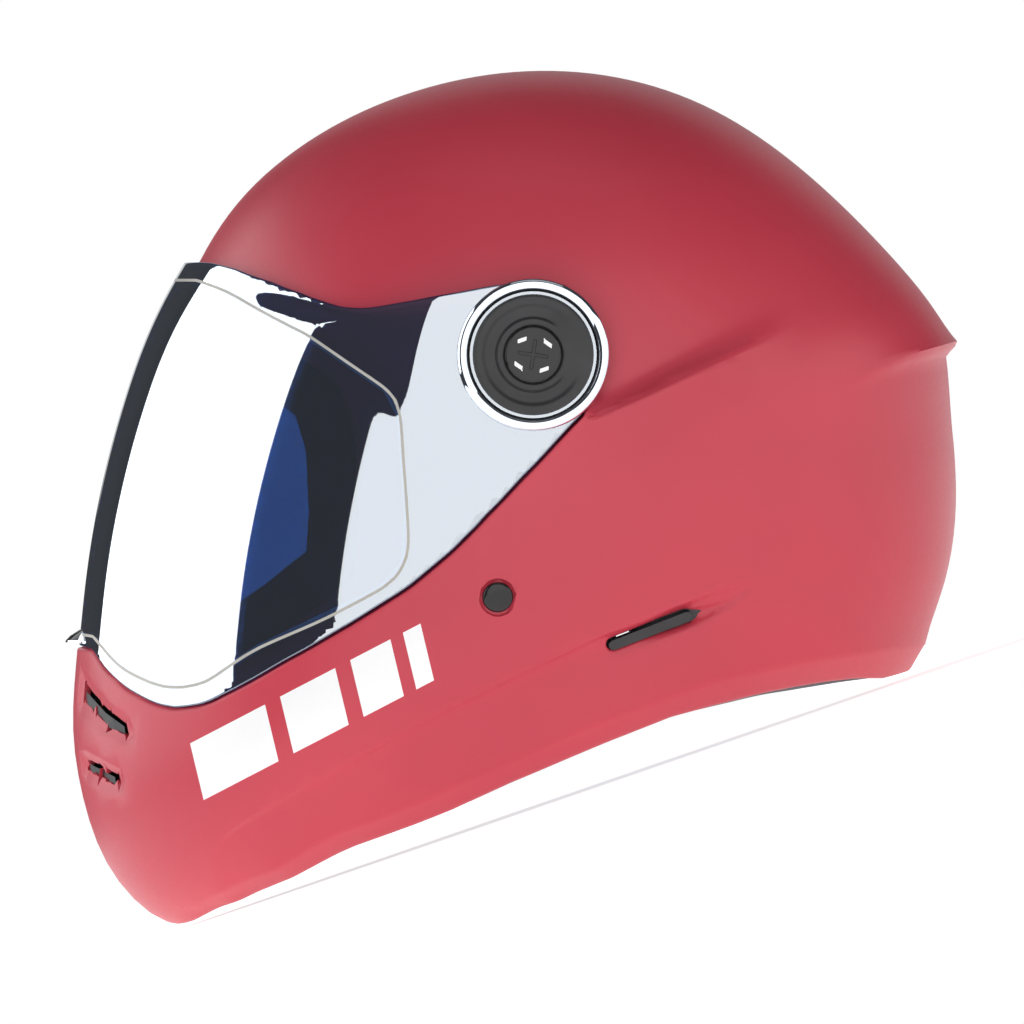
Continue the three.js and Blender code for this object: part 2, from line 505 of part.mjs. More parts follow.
// --- visor pivots ---
for (const [which, side] of SIDES) {
  let base = turned([[SCREW_SHANK_R + 0.4, BASE_BOTTOM], [BASE_R, BASE_BOTTOM], [BASE_R, BASE_TOP - 0.6], [BASE_R - 0.6, BASE_TOP],
    [HUB_R, BASE_TOP], [HUB_R, 123.9], [SCREW_SHANK_R + 0.4, 123.9]], side, 20);
  for (const s of [-1, 1]) base = base.subtract(place(turned([[0, 116], [2.2, 116], [2.2, 118.4], [4.0, 118.4], [4.0, 122], [0, 122]], side, 8), 0, 0, s * 17.5));
  add(`visor_base_${which}`, base, 'black');
  for (const [s, name] of [[1, 'upper'], [-1, 'lower']]) {
    add(`base_screw_${name}_${which}`, place(turned([[0, 111.5], [1.6, 111.5], [1.6, 118.7], [3.6, 118.7], [3.6, 119.8], [0, 119.8]], side, 8), 0, 0, s * 17.5), 'zinc');
  }
  add(`friction_washer_${which}`, turned([[13.5, 120.3], [18.5, 120.3], [18.5, 121.0], [13.5, 121.0]], side, 18), 'rubber');
  add(`pivot_cap_${which}`, turned([[SCREW_SHANK_R + 0.5, CAP_BASE], [CAP_R, CAP_BASE], [CAP_R, CAP_TOP - 1.3], [CAP_R - 1.4, CAP_TOP],
    [SCREW_HEAD_R + 0.4, CAP_TOP], [SCREW_HEAD_R + 0.4, 126.2], [SCREW_SHANK_R + 0.5, 126.2]], side, 24), 'black');
  let screw = turned([[0, 108.4], [SCREW_SHANK_R, 108.4], [SCREW_SHANK_R, 126.5], [SCREW_HEAD_R, 126.5], [SCREW_HEAD_R, 129.3], [SCREW_HEAD_R - 0.8, 130.1], [0, 130.1]], side, 16);
  const slotY = side < 0 ? [-131, -128.9] : [128.9, 131];
  screw = screw.subtract(slab([[-5.4, -0.8], [5.4, -0.8], [5.4, 0.8], [-5.4, 0.8]], ...slotY))
    .subtract(slab([[-0.8, -5.4], [0.8, -5.4], [0.8, 5.4], [-0.8, 5.4]], ...slotY));
  add(`pivot_screw_${which}`, screw, 'gloss');
  add(`pivot_nut_${which}`, turned([[SCREW_SHANK_R + 0.35, 107.6], [7, 107.6], [7, 109.6], [9.5, 109.6], [9.5, 111.0], [SCREW_SHANK_R + 0.35, 111.0]], side, 12), 'zinc');
}

// --- foam and padding ---
const headHollow = ellipsoid(HEAD_CENTRE, HEAD_SEMI, 0);
const faceHollow = ellipsoid(FACE_CENTRE, FACE_SEMI, 0, 2.5);
const neckHollow = (() => {
  const sections = [];
  for (const h of [-60, 130]) {
    const loop = [];
    for (let i = 0; i < 28; i++) {
      const a = (2 * Math.PI * i) / 28, px = NECK_SEMI[0] * Math.cos(a);
      loop.push([NECK_CENTRE[0] + px * Math.cos(tilt) - h * DOWN[0], NECK_SEMI[1] * Math.sin(a), NECK_CENTRE[1] - px * Math.sin(tilt) * -1 - h * DOWN[1]]);
    }
    sections.push(loop);
  }
  return loft(sections);
})();
const FOAM_EDGE = [[-67, -41], [-33, -53], [-12, -59], [31, -72.5], [81, -81.5], [133, -87]];
const belowLine = (line, drop) => [[-190, line[0][1] + drop], ...line.map(([x, z]) => [x, z + drop]), [190, line[line.length - 1][1] + drop - 2], [190, -270], [-190, -270]];
const visorWall = clearOfVisor(1.5 + SHELL_WALL + 1, RECESS + SHELL_WALL + 0.7);
const hardware = (m) => {
  for (const [, side] of SIDES) {
    m = m.subtract(turned([[0, 100], [11, 100], [11, 130], [0, 130]], side, 10));
    for (const s of [-1, 1]) m = m.subtract(place(turned([[0, 105], [3, 105], [3, 130], [0, 130]], side, 6), 0, 0, s * 17.5));
  }
  return m;
};
add('eps_crown_liner', hardware(shellBody(SHELL_WALL + 0.7).subtract(visorWall)
  .subtract(headHollow).subtract(across(grownOutline(EYEPORT, 3)))
  .subtract(across(belowLine(FOAM_EDGE, 0), 160))), 'foam');
const COMFORT_EDGE = [[-72, 20], [-67, -30], [-33, -44], [24, -62], [116, -73]];
add('crown_comfort_pad', ellipsoid(HEAD_CENTRE, HEAD_SEMI, -0.5).subtract(ellipsoid(HEAD_CENTRE, HEAD_SEMI, -0.5 - COMFORT_THICKNESS))
  .subtract(across([[-190, 20], ...COMFORT_EDGE, [190, -74], [190, -270], [-190, -270]])), 'fabric');
const CHEEK = [[-67, -45], [-33, -57], [-12, -63], [28, -76], [28, -135], [16, -139], [-7.5, -148.5], [-29.5, -158], [-52, -167], [-64, -171], [-68, -140], [-71, -105], [-72, -75]];
const cheekBody = shellBody(STRAP_LAYER).subtract(visorWall).subtract(faceHollow).subtract(headHollow);
for (const [which, side] of SIDES) {
  add(`cheek_pad_${which}`, cheekBody.intersect(slab(CHEEK, ...(side < 0 ? [-130, -40] : [40, 130]))), 'cheek');
}
const NECK_ROLL = [[35, -78.5], [81, -87], [133, -92.5], [150, -93], [150, -108], [129.6, -112.6], [108.6, -115], [80, -119.5], [61.6, -124], [50.5, -126.8], [35, -132.5]];
add('neck_roll', shellBody(SHELL_WALL + 1.2).intersect(chamferCup(SHELL_WALL + 1.2)).intersect(across(NECK_ROLL)).subtract(neckHollow).subtract(ellipsoid(HEAD_CENTRE, HEAD_SEMI, 0.4)), 'cheek');
const CHIN = [[-185, -114.5], [-150, -119.5], [-137, -125], [-122, -127], [-104, -122.5], [-76.5, -108], [-75, -140], [-76.5, -172], [-100, -187], [-125, -194.5], [-147, -191], [-185, -178]];
let chinFoam = shellBody(SHELL_WALL + 0.7).intersect(chamferCup(SHELL_WALL + 0.7)).subtract(visorWall).intersect(across(CHIN)).subtract(faceHollow);
for (const [, side] of SIDES) {
  const range = side < 0 ? [-150, -24] : [24, 150];
  chinFoam = chinFoam.subtract(slab(grownOutline(LOWER_VENT, 1), ...range)).subtract(slab(grownOutline(UPPER_VENT, 1), ...range));
}
add('eps_chin_bar', chinFoam, 'foam');
const DEFLECTOR = [[-185, -91.2], [-146.6, -91.2], [-143.5, -94.7], [-138.5, -96.1], [-133.5, -104], [-131, -112], [-137, -109], [-146, -103.5], [-155, -100.5], [-185, -100.5]];
add('breath_deflector', visorBody(RECESS + SHELL_WALL + 0.4).subtract(visorBody(RECESS + SHELL_WALL + 2.6)).intersect(across(DEFLECTOR)), 'rubber');

// --- vent meshes and exhaust grilles, set into their openings ---
const meshLayer = shellBody(1.4).subtract(shellBody(3.4));
for (const [which, side] of SIDES) {
  const range = side < 0 ? [-150, -24.4] : [24.4, 150];
  add(`chin_vent_upper_${which}`, meshLayer.intersect(slab(grownOutline(UPPER_VENT, -0.35), ...range)), 'black');
  add(`chin_vent_lower_${which}`, meshLayer.intersect(slab(grownOutline(LOWER_VENT, -0.35), ...range)), 'black');
  add(`exhaust_grille_${which}`, meshLayer.intersect(slab(capsule(1.72), ...range)), 'black');
}

// --- chin straps: a rivet, an anchor plate and webbing on each side ---
const RIVET_PROFILE = [[0, 1.25], [2.6, 0.95], [4.6, 0.25], [5.5, -0.6], [5.5, -1.0], [2.6, -1.0], [2.6, -5.9], [4.6, -5.9], [4.6, -7.5], [2.6, -7.5], [2.6, -9.7], [4.6, -9.7], [4.6, -10.7], [0, -10.7]];
// Pieces in the strap frame: x across the webbing, y outwards, z up.
function plateOutline() {
  const out = [];
  for (let k = 0; k <= 8; k++) { const a = Math.PI * (k / 8); out.push([9 * Math.cos(a), 9 * Math.sin(a) * 0.9]); }
  out.push([-13, -7], [-13, -15.5], [-11.8, -17], [11.8, -17], [13, -15.5], [13, -7]);
  return out;
}
const plateHole = [];
for (let k = 0; k < 14; k++) { const a = (2 * Math.PI * k) / 14; plateHole.push([3.0 * Math.cos(a), 3.0 * Math.sin(a)]); }
const slotHole = [[-11.6, -9.6], [11.6, -9.6], [11.6, -13.4], [-11.6, -13.4]];
// A strip whose section is drawn in y, z and carried across x.
function strip(section, holes, halfWidth) {
  const shape = new THREE.Shape(section.map(([y, z]) => new THREE.Vector2(y, z)));
  for (const h of holes) shape.holes.push(new THREE.Path(h.map(([y, z]) => new THREE.Vector2(y, z))));
  const g = new THREE.ExtrudeGeometry(shape, { depth: 2 * halfWidth, bevelEnabled: false, steps: 1 });
  g.translate(0, 0, -halfWidth);
  // (y, z, x) -> (x, y, z)
  g.applyMatrix4(new THREE.Matrix4().makeBasis(new THREE.Vector3(0, 1, 0), new THREE.Vector3(0, 0, 1), new THREE.Vector3(1, 0, 0)));
  return fromGeometry(g);
}
// The top of both straps wraps the anchor plate's lower bar.
const topHole = [[-7.5, -12.9], [-9.7, -12.9], [-9.7, -17.5], [-7.5, -17.5]];
const BAR_Z = -33;
const loopHole = [];
for (let k = 0; k < 12; k++) {
  const a = (2 * Math.PI * k) / 12;
  loopHole.push([-8.6 + 1.55 * Math.cos(a) + (Math.cos(a) > 0 ? 1.3 : -1.3), BAR_Z + 1.55 * Math.sin(a)]);
}
const leftSection = [[-6.6, -12], [-7.2, -11.4], [-10, -11.4], [-10.6, -12], [-10.6, -19], [-10.1, -21], [-10.1, -28.8], [-12.4, -31.2], [-12.7, -33], [-11.9, -35.2], [-9.6, -36], [-7.6, -36], [-5.3, -35.2], [-4.9, -33], [-5.2, -31.2], [-7.1, -28.8], [-7.1, -21], [-6.6, -19]];
const rightSection = [[-6.6, -12], [-7.2, -11.4], [-10, -11.4], [-10.6, -12], [-10.6, -18.4], [-8.8, -19.8], [-8.4, -22], [-8.4, -53],
  [-8.9, -53.8], [-9.6, -53.8], [-10.1, -53], [-10.1, -24], [-11.7, -24], [-11.7, -54.6], [-10.7, -56], [-7.8, -56], [-6.8, -54.6], [-6.8, -20], [-6.6, -18.4]];
function dRing(layer) {
  // Wire ring with a straight bar at the top, in the x-z plane.
  const path = [], W = 14.2, R = 2.6;
  const arc = (cx, cz, r, a0, a1, n) => { for (let k = 0; k <= n; k++) { const a = ((a0 + ((a1 - a0) * k) / n) * Math.PI) / 180; path.push([cx + r * Math.cos(a), cz + r * Math.sin(a)]); } };
  arc(W - R, -R, R, 90, 0, 3);
  arc(0, -4.2, W, 0, -180, 10);
  arc(-W + R, -R, R, 180, 90, 3);
  const sections = path.map(([x, z], i) => {
    const a = path[(i + path.length - 1) % path.length], b = path[(i + 1) % path.length];
    const t = [b[0] - a[0], b[1] - a[1]], l = Math.hypot(...t), n = [-t[1] / l, t[0] / l];
    const loop = [];
    for (let k = 0; k < 6; k++) {
      const q = (2 * Math.PI * (k + 0.5)) / 6, c = 1.15 * Math.cos(q), s = 1.15 * Math.sin(q);
      loop.push([x + n[0] * c, layer + s, BAR_Z + z + n[1] * c]);
    }
    return loop;
  });
  return loft(sections, true);
}
for (const [which, side] of SIDES) {
  add(`strap_rivet_${which}`, inStrapFrame(turned(RIVET_PROFILE, 1, 12), which), 'gloss');
  const plate = slab(plateOutline(), -9.3, -7.9, [plateHole, slotHole]);
  add(`anchor_plate_${which}`, inStrapFrame(plate, which), 'steel');
}
add('strap_left', inStrapFrame(strip(leftSection, [topHole, loopHole], 11), 'left'), 'web');
add('d_ring_outer', inStrapFrame(dRing(-7.25), 'left'), 'steel');
add('d_ring_inner', inStrapFrame(dRing(-9.95), 'left'), 'steel');
const snapHole = place(turned([[0, -13], [2.5, -13], [2.5, -9.6], [0, -9.6]], 1, 14), 0, 0, -32);
add('strap_right', inStrapFrame(strip(rightSection, [topHole], 11).subtract(snapHole), 'right'), 'web');
add('strap_snap', inStrapFrame(place(turned([[0, -13.3], [4.6, -13.3], [6, -12.6], [6, -12.0], [2.1, -12.0], [2.1, -9.5], [3.6, -9.5], [3.6, -8.8], [0, -8.8]], 1, 10), 0, 0, -32), 'right'), 'zinc');

// ------------------------------------------------------------------
// Resting pose
// ------------------------------------------------------------------
const helmet = new THREE.Group();
helmet.name = 'helmet';
design.rotation.y = tilt;
helmet.add(design);
helmet.updateMatrixWorld(true);
const box = new THREE.Box3().setFromObject(helmet, true);
design.position.set(-(box.min.x + box.max.x) / 2, -(box.min.y + box.max.y) / 2, -box.min.z);
helmet.updateMatrixWorld(true);

export default helmet;
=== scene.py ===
"""Visual model of the full-face helmet: shell, mirrored visor, pivots, vents, padding and straps."""
import math, json
import bpy, bmesh
import numpy as np
from mathutils import Vector, Matrix

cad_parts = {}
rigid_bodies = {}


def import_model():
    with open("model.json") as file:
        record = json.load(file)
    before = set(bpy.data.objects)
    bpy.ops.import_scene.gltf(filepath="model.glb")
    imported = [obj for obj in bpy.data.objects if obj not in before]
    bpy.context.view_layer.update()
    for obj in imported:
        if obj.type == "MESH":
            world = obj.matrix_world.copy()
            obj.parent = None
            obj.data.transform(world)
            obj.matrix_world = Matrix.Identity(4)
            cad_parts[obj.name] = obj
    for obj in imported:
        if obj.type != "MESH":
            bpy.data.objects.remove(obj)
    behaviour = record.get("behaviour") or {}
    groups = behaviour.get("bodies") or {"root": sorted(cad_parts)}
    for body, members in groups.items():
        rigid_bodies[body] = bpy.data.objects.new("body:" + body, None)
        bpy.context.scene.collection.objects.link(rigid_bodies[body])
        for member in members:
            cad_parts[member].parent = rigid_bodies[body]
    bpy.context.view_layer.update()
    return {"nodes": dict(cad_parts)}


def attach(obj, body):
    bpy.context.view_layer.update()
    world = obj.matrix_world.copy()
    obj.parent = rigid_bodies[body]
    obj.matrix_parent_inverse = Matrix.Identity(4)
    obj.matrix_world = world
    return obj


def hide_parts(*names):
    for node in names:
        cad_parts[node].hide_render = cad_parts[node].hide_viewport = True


for _o in list(bpy.data.objects):
    bpy.data.objects.remove(_o)
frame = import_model()

# ---------------------------------------------------------------- frame
TILT = math.radians(18.97)
CT, ST = math.cos(TILT), math.sin(TILT)
PX, PZ = 30.9743, 152.0334          # visor pivot in the resting frame, mm


def row(p):
    """Design frame in mm to the resting frame in metres."""
    p = np.asarray(p, float)
    x, y, z = p[..., 0], p[..., 1], p[..., 2]
    return np.stack([x * CT + z * ST + PX, y, -x * ST + z * CT + PZ], -1) * 0.001


# ---------------------------------------------------------------- camera
DIST = 16.0
cam_data = bpy.data.cameras.new("camera")
cam = bpy.data.objects.new("camera", cam_data)
bpy.context.scene.collection.objects.link(cam)
cam_data.sensor_width = 36.0
cam_data.lens = 36.0 * DIST / 0.3645
cam_data.clip_start, cam_data.clip_end = 1.0, 60.0
right, up, back = Vector((CT, 0, -ST)), Vector((ST, 0, CT)), Vector((0, -1, 0))
m = Matrix((right, up, back)).transposed().to_4x4()
m.translation = Vector((0.00585, -DIST, 0.10194))
cam.matrix_world = m
bpy.context.scene.camera = cam

# ---------------------------------------------------------------- tables
CENTRE = np.array([2.49, -26.34])
OUTLINE_R = np.array([147.07, 147.15, 147.68, 148.21, 148.27, 147.43, 145.71, 143.48, 141.13, 138.99, 137.11,
    135.51, 134.16, 133.05, 132.15, 131.43, 130.88, 130.45, 130.12, 129.86, 129.66, 129.47, 129.27, 129.07,
    128.86, 128.65, 128.45, 128.27, 128.1, 127.96, 127.86, 127.79, 127.78, 127.81, 127.9, 128.06, 128.29, 128.6,
    128.98, 129.44, 129.96, 130.52, 131.13, 131.77, 132.42, 133.08, 133.71, 134.24, 134.64, 134.89, 135.04,
    135.15, 135.25, 135.42, 135.69, 136.12, 136.76, 137.66, 138.87, 140.4, 142.24, 144.41, 146.91, 149.74,
    152.89, 156.42, 160.8, 166.98, 175.55, 184.39, 191.58, 197.61, 203.23, 208.84, 213.93, 217.87, 220.31,
    220.9, 218.88, 218.32, 219.41, 219.37, 218.48, 217.61, 217.0, 216.53, 216.08, 215.5, 214.68, 213.47, 211.83,
    209.79, 207.43, 204.83, 202.04, 199.14, 196.2, 193.26, 190.33, 187.43, 184.56, 181.75, 179.0, 176.32,
    173.73, 171.24, 168.85, 166.58, 164.15, 161.01, 157.7, 155.57, 154.58, 153.96, 153.18, 152.23, 151.14,
    149.97, 148.77, 147.73])
XF = np.array([-132.29, -143.32, -149.51, -153.63, -156.65, -159.08, -161.0, -162.36, -163.11, -163.26, -162.96,
    -162.37, -161.65, -160.9, -160.1, -159.2, -158.14, -156.9, -155.47, -153.85, -152.05, -150.07, -147.9,
    -145.54, -142.99, -140.19, -137.03, -133.42, -129.3, -124.72, -119.78, -114.53])
VISOR_LOWER = np.array([[-157.0, -104.31], [-152.72, -110.36], [-148.45, -114.63], [-144.18, -118.19], [-139.91,
    -120.68], [-135.64, -122.82], [-131.36, -124.24], [-127.09, -124.96], [-122.82, -124.6], [-118.55, -123.89],
    [-114.28, -122.46], [-110.0, -120.33], [-105.73, -118.19], [-97.19, -113.56], [-88.64, -108.58], [-80.1,
    -103.95], [-71.56, -98.97], [-63.01, -93.98], [-54.47, -88.64], [-45.92, -83.3], [-41.65, -80.1], [-37.38,
    -76.54], [-33.11, -72.98], [-28.84, -69.42], [-24.56, -65.15], [-20.29, -60.88], [-16.02, -56.25], [-11.75,
    -51.98], [-7.48, -47.35], [-3.2, -42.72], [1.07, -38.45], [5.34, -33.82], [9.61, -29.19], [13.88, -24.56],
    [18.16, -20.29]])
VISOR_UPPER = np.array([[-122.46, 33.46], [-118.55, 33.46], [-114.28, 33.11], [-110.0, 32.04], [-105.73, 30.97],
    [-101.46, 29.19], [-97.19, 27.77], [-92.92, 26.34], [-88.64, 24.56], [-84.37, 23.14], [-80.1, 21.36],
    [-75.83, 19.94], [-71.56, 18.51], [-67.28, 17.62], [-63.01, 17.09], [-58.74, 17.09], [-54.47, 17.62],
    [-50.2, 18.33], [-44.5, 19.22], [-38.8, 20.11], [-32.75, 21.18], [-25.28, 22.43], [-17.8, 23.85], [-12.46,
    24.74]])
SHOULDER = np.array([[20.29, -22.78], [39.16, -14.6], [62.3, -3.56], [79.74, 4.63], [93.63, 11.04]])
RIDGE = np.array([[-122.11, -195.44], [-106.44, -188.68], [-91.14, -182.27], [-73.69, -171.59], [-56.25,
    -164.83], [-38.8, -157.71], [-23.14, -150.59], [-7.48, -143.82], [15.66, -133.14], [39.16, -124.24], [62.3,
    -116.06], [85.44, -110.72], [108.58, -106.8], [138.84, -102.53]])
EYEPORT = np.array([[-168.39, 25.99], [-136.35, 25.99], [-124.96, 24.56], [-119.62, 17.8], [-113.92, 10.68],
    [-104.31, -2.14], [-96.48, -8.54], [-87.58, -14.95], [-81.88, -20.29], [-79.03, -26.34], [-77.96, -33.46],
    [-77.25, -44.14], [-76.9, -55.54], [-76.54, -65.5], [-77.96, -70.84], [-81.17, -74.76], [-94.34, -83.66],
    [-108.22, -92.92], [-120.33, -101.46], [-128.52, -105.38], [-136.35, -103.95], [-145.25, -99.68], [-154.15,
    -96.48], [-168.39, -95.41]])
SEAL = np.array([[-119.26, 27.41], [-108.22, 23.14], [-96.83, 16.73], [-85.08, 10.5], [-78.68, 7.12], [-65.15,
    -2.14], [-51.26, -11.75], [-48.06, -15.66], [-46.28, -21.36], [-45.03, -38.45], [-43.79, -55.54], [-43.43,
    -67.28], [-45.03, -74.05], [-48.42, -79.39], [-52.69, -82.95], [-73.51, -93.98], [-96.83, -104.31],
    [-108.22, -111.43], [-115.34, -116.06], [-123.53, -118.19], [-131.72, -117.84], [-139.91, -114.81],
    [-147.74, -110.18], [-156.64, -100.39]])
PANEL = np.array([[83.66, -80.1], [76.18, -84.02], [56.6, -89.36], [26.34, -97.9], [9.97, -105.38], [-7.48,
    -113.56], [-44.5, -132.08], [-73.69, -148.45], [-90.78, -157.71], [-102.53, -164.83], [-110.72, -170.52],
    [-114.28, -176.58], [-113.21, -185.83], [-110.72, -192.24]])
BOTTOM = np.array([[-175.5, -205.06], [-147, -205.06], [-132.4, -202.4], [-126.7, -202.9], [-121, -202.3], [-114, -200.0], [-106, -197.15], [-100.7, -194.6], [-86.5, -188.7], [-63.7, -177.3], [-29.5, -163.4], [-7.5, -153.1], [27.4, -138.8], [50.5, -129.9], [84.4, -122.1], [108.6, -118.2], [119.3, -116.8], [129.5, -116.25], [152, -108.52]])
SECTION_POWER = np.array([2.2, 2.2, 2.15, 2.25, 2.5, 2.95, 3.0, 2.6])


# ---------------------------------------------------------------- small maths
def smooth(a, b, v):
    t = np.clip((np.asarray(v, float) - a) / (b - a), 0, 1)
    return t * t * (3 - 2 * t)


def ramp(d, r):
    """0 below -r, d above +r, with a rounded corner between."""
    return np.where(d <= -r, 0.0, np.where(d >= r, d, (d + r) ** 2 / (4 * r)))


def catmull(p0, p1, p2, p3, t):
    return p1 + 0.5 * t * (p2 - p0 + t * (2 * p0 - 5 * p1 + 4 * p2 - p3 + t * (3 * (p1 - p2) + p3 - p0)))


def smooth_line(pts, step=3.0, closed=False):
    """Catmull-Rom through pts, resampled at about step mm."""
    pts = np.asarray(pts, float)
    n = len(pts)
    out = []
    for i in range(n if closed else n - 1):
        if closed:
            a, b, c, d = pts[(i - 1) % n], pts[i], pts[(i + 1) % n], pts[(i + 2) % n]
        else:
            b, c = pts[i], pts[i + 1]
            a = pts[i - 1] if i > 0 else 2 * b - c
            d = pts[i + 2] if i + 2 < n else 2 * c - b
        k = max(1, int(round(np.hypot(*(c - b)) / step)))
        for j in range(k):
            out.append(catmull(a, b, c, d, j / k))
    if not closed:
        out.append(pts[-1])
    return np.array(out)


def outline_radius(a):
    n = len(OUTLINE_R)
    f = (a / (2 * np.pi) * n) % n
    i = np.floor(f).astype(int)
    t = f - i
    g = lambda k: OUTLINE_R[k % n]
    return catmull(g(i - 1), g(i), g(i + 1), g(i + 2), t)


def section_power(a):
    n = len(SECTION_POWER)
    f = (a / (2 * np.pi) * n) % n
    i = np.floor(f).astype(int)
    t = smooth(0, 1, f - i)
    return SECTION_POWER[i % n] * (1 - t) + SECTION_POWER[(i + 1) % n] * t


XFP = np.concatenate([[2 * XF[0] - XF[1]], XF, [2 * XF[-1] - XF[-2]]])


def front_x(z):
    f = np.clip((np.asarray(z, float) + 200) / 8, 0, len(XF) - 1.0001)
    i = np.floor(f).astype(int)
    t = f - i
    return catmull(XFP[i], XFP[i + 1], XFP[i + 2], XFP[np.minimum(i + 3, len(XFP) - 1)], t)


def below(line, x, z):
    """Signed distance to an open line that runs from front to rear, positive below it."""
    best = np.full(x.shape, 1e9)
    sign = np.ones(x.shape)
    bc = np.zeros(x.shape)
    for i in range(len(line) - 1):
        ax, az = line[i]
        bx, bz = line[i + 1]
        tx, tz = bx - ax, bz - az
        l2 = tx * tx + tz * tz
        t = np.clip(((x - ax) * tx + (z - az) * tz) / l2, 0, 1)
        d = np.hypot(x - ax - t * tx, z - az - t * tz)
        cross = (tx * (z - az) - tz * (x - ax)) / math.sqrt(l2)
        take = (d < best - 1e-6) | ((d < best + 1e-6) & (np.abs(cross) > bc))
        sign = np.where(take, np.where(cross < 0, 1.0, -1.0), sign)
        bc = np.where(take, np.abs(cross), bc)
        best = np.minimum(best, d)
    return sign * best


def inside(poly, x, z):
    """Signed distance to a closed outline, negative inside."""
    n = len(poly)
    best = np.full(x.shape, 1e9)
    odd = np.zeros(x.shape, bool)
    for i in range(n):
        ax, az = poly[i]
        bx, bz = poly[(i + 1) % n]
        tx, tz = bx - ax, bz - az
        l2 = tx * tx + tz * tz
        if l2 < 1e-12:
            continue
        t = np.clip(((x - ax) * tx + (z - az) * tz) / l2, 0, 1)
        best = np.minimum(best, np.hypot(x - ax - t * tx, z - az - t * tz))
        if az != bz:
            hit = ((az > z) != (bz > z)) & (x < (bx - ax) * (z - az) / (bz - az) + ax)
            odd ^= hit
    return np.where(odd, -best, best)


# ---------------------------------------------------------------- cutting a grid along level sets
class Sheet:
    """A triangle mesh whose vertices are parameters on a surface."""

    def __init__(self, q, tris, place):
        self.q, self.t, self.place = np.asarray(q, float), np.asarray(tris, np.int64), place
        self.p = place(self.q)

    def cut(self, g, eps=0.05, near=None):
        """Splits every edge that crosses g = 0; near limits the cut to edges whose ends both lie in a region."""
        v = g(self.p)
        s = np.where(np.abs(v) < eps, 0, np.sign(v)).astype(int)
        ok = np.ones(len(v), bool) if near is None else near(self.p)
        s = np.where(ok, s, 0)
        t = self.t
        st = s[t]
        mixed = (st.max(1) > 0) & (st.min(1) < 0)
        if not mixed.any():
            return
        keep, cut = t[~mixed], t[mixed]
        edges = np.concatenate([cut[:, [0, 1]], cut[:, [1, 2]], cut[:, [2, 0]]])
        cross = s[edges[:, 0]] * s[edges[:, 1]] < 0
        e = np.sort(edges[cross], 1)
        n = len(self.q)
        key = np.unique(e[:, 0] * n + e[:, 1])
        a, b = key // n, key % n
        f = np.clip(v[a] / (v[a] - v[b]), 0.02, 0.98)
        qn = self.q[a] + (self.q[b] - self.q[a]) * f[:, None]
        self.q = np.concatenate([self.q, qn])
        self.p = np.concatenate([self.p, self.place(qn)])

        def mid(u, w):
            k = np.minimum(u, w) * n + np.maximum(u, w)
            return n + np.searchsorted(key, k)

        out = [keep]
        for r in range(3):
            A, B, C = cut[:, r], cut[:, (r + 1) % 3], cut[:, (r + 2) % 3]
            sa, sb, sc = s[A], s[B], s[C]
            one = (sa == 0) & (sb * sc < 0)
            if one.any():
                M = mid(B[one], C[one])
                out += [np.stack([A[one], B[one], M], 1), np.stack([A[one], M, C[one]], 1)]
            two = (sa * sb < 0) & (sa * sc < 0)
            if two.any():
                a_, b_, c_ = A[two], B[two], C[two]
                M, N = mid(a_, b_), mid(a_, c_)
                out += [np.stack([a_, M, N], 1)]
                d1 = np.linalg.norm(self.p[M] - self.p[c_], axis=1)
                d2 = np.linalg.norm(self.p[b_] - self.p[N], axis=1)
                w = d1 < d2
                out += [np.stack([M[w], b_[w], c_[w]], 1), np.stack([M[w], c_[w], N[w]], 1),
                        np.stack([M[~w], b_[~w], N[~w]], 1), np.stack([b_[~w], c_[~w], N[~w]], 1)]
        self.t = np.concatenate(out)

    def centres(self):
        return self.p[self.t].mean(1)

    def drop(self, mask):
        self.t = self.t[~mask]
        used, inv = np.unique(self.t, return_inverse=True)
        self.t = inv.reshape(-1, 3)
        self.q, self.p = self.q[used], self.p[used]

    def rims(self):
        """Boundary edges, in the order their triangles have them."""
        e = np.concatenate([self.t[:, [0, 1]], self.t[:, [1, 2]], self.t[:, [2, 0]]])
        n = len(self.p)
        k = np.minimum(e[:, 0], e[:, 1]) * n + np.maximum(e[:, 0], e[:, 1])
        u, idx, cnt = np.unique(k, return_index=True, return_counts=True)
        return e[idx[cnt == 1]]


def closed(sheet, outer, inner, mid_rows=()):
    """Joins an outer and an inner copy of a sheet's vertices into one closed body. Returns points, triangles, kinds (0 outer, 1 inner, 2 edge)."""
    n = len(outer)
    pts = [outer, inner]
    tris = [sheet.t, sheet.t[:, ::-1] + n]
    kinds = [np.zeros(len(sheet.t), int), np.ones(len(sheet.t), int)]
    e = sheet.rims()
    a, b = e[:, 0], e[:, 1]
    tris += [np.stack([b, a, a + n], 1), np.stack([b, a + n, b + n], 1)]
    kinds += [np.full(2 * len(e), 2)]
    return np.concatenate(pts), np.concatenate(tris), np.concatenate(kinds)


def piece(name, pts, faces, mats, kinds=None, angle=38, design=True, body="helmet", replaces=()):
    me = bpy.data.meshes.new(name)
    co = row(pts) if design else np.asarray(pts, float)
    faces = [list(map(int, f)) for f in faces]
    me.from_pydata(co.tolist(), [], faces)
    for m_ in mats:
        me.materials.append(m_)
    if kinds is not None:
        me.polygons.foreach_set("material_index", np.asarray(kinds, np.int32))
    ob = bpy.data.objects.new(name, me)
    bpy.context.scene.collection.objects.link(ob)
    bm = bmesh.new()
    bm.from_mesh(me)
    bmesh.ops.remove_doubles(bm, verts=bm.verts, dist=2e-7)
    bmesh.ops.recalc_face_normals(bm, faces=bm.faces)
    bm.to_mesh(me)
    bm.free()
    me.shade_smooth()
    me.set_sharp_from_angle(angle=math.radians(angle))
    if replaces:
        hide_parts(*replaces)
    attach(ob, body)
    return ob


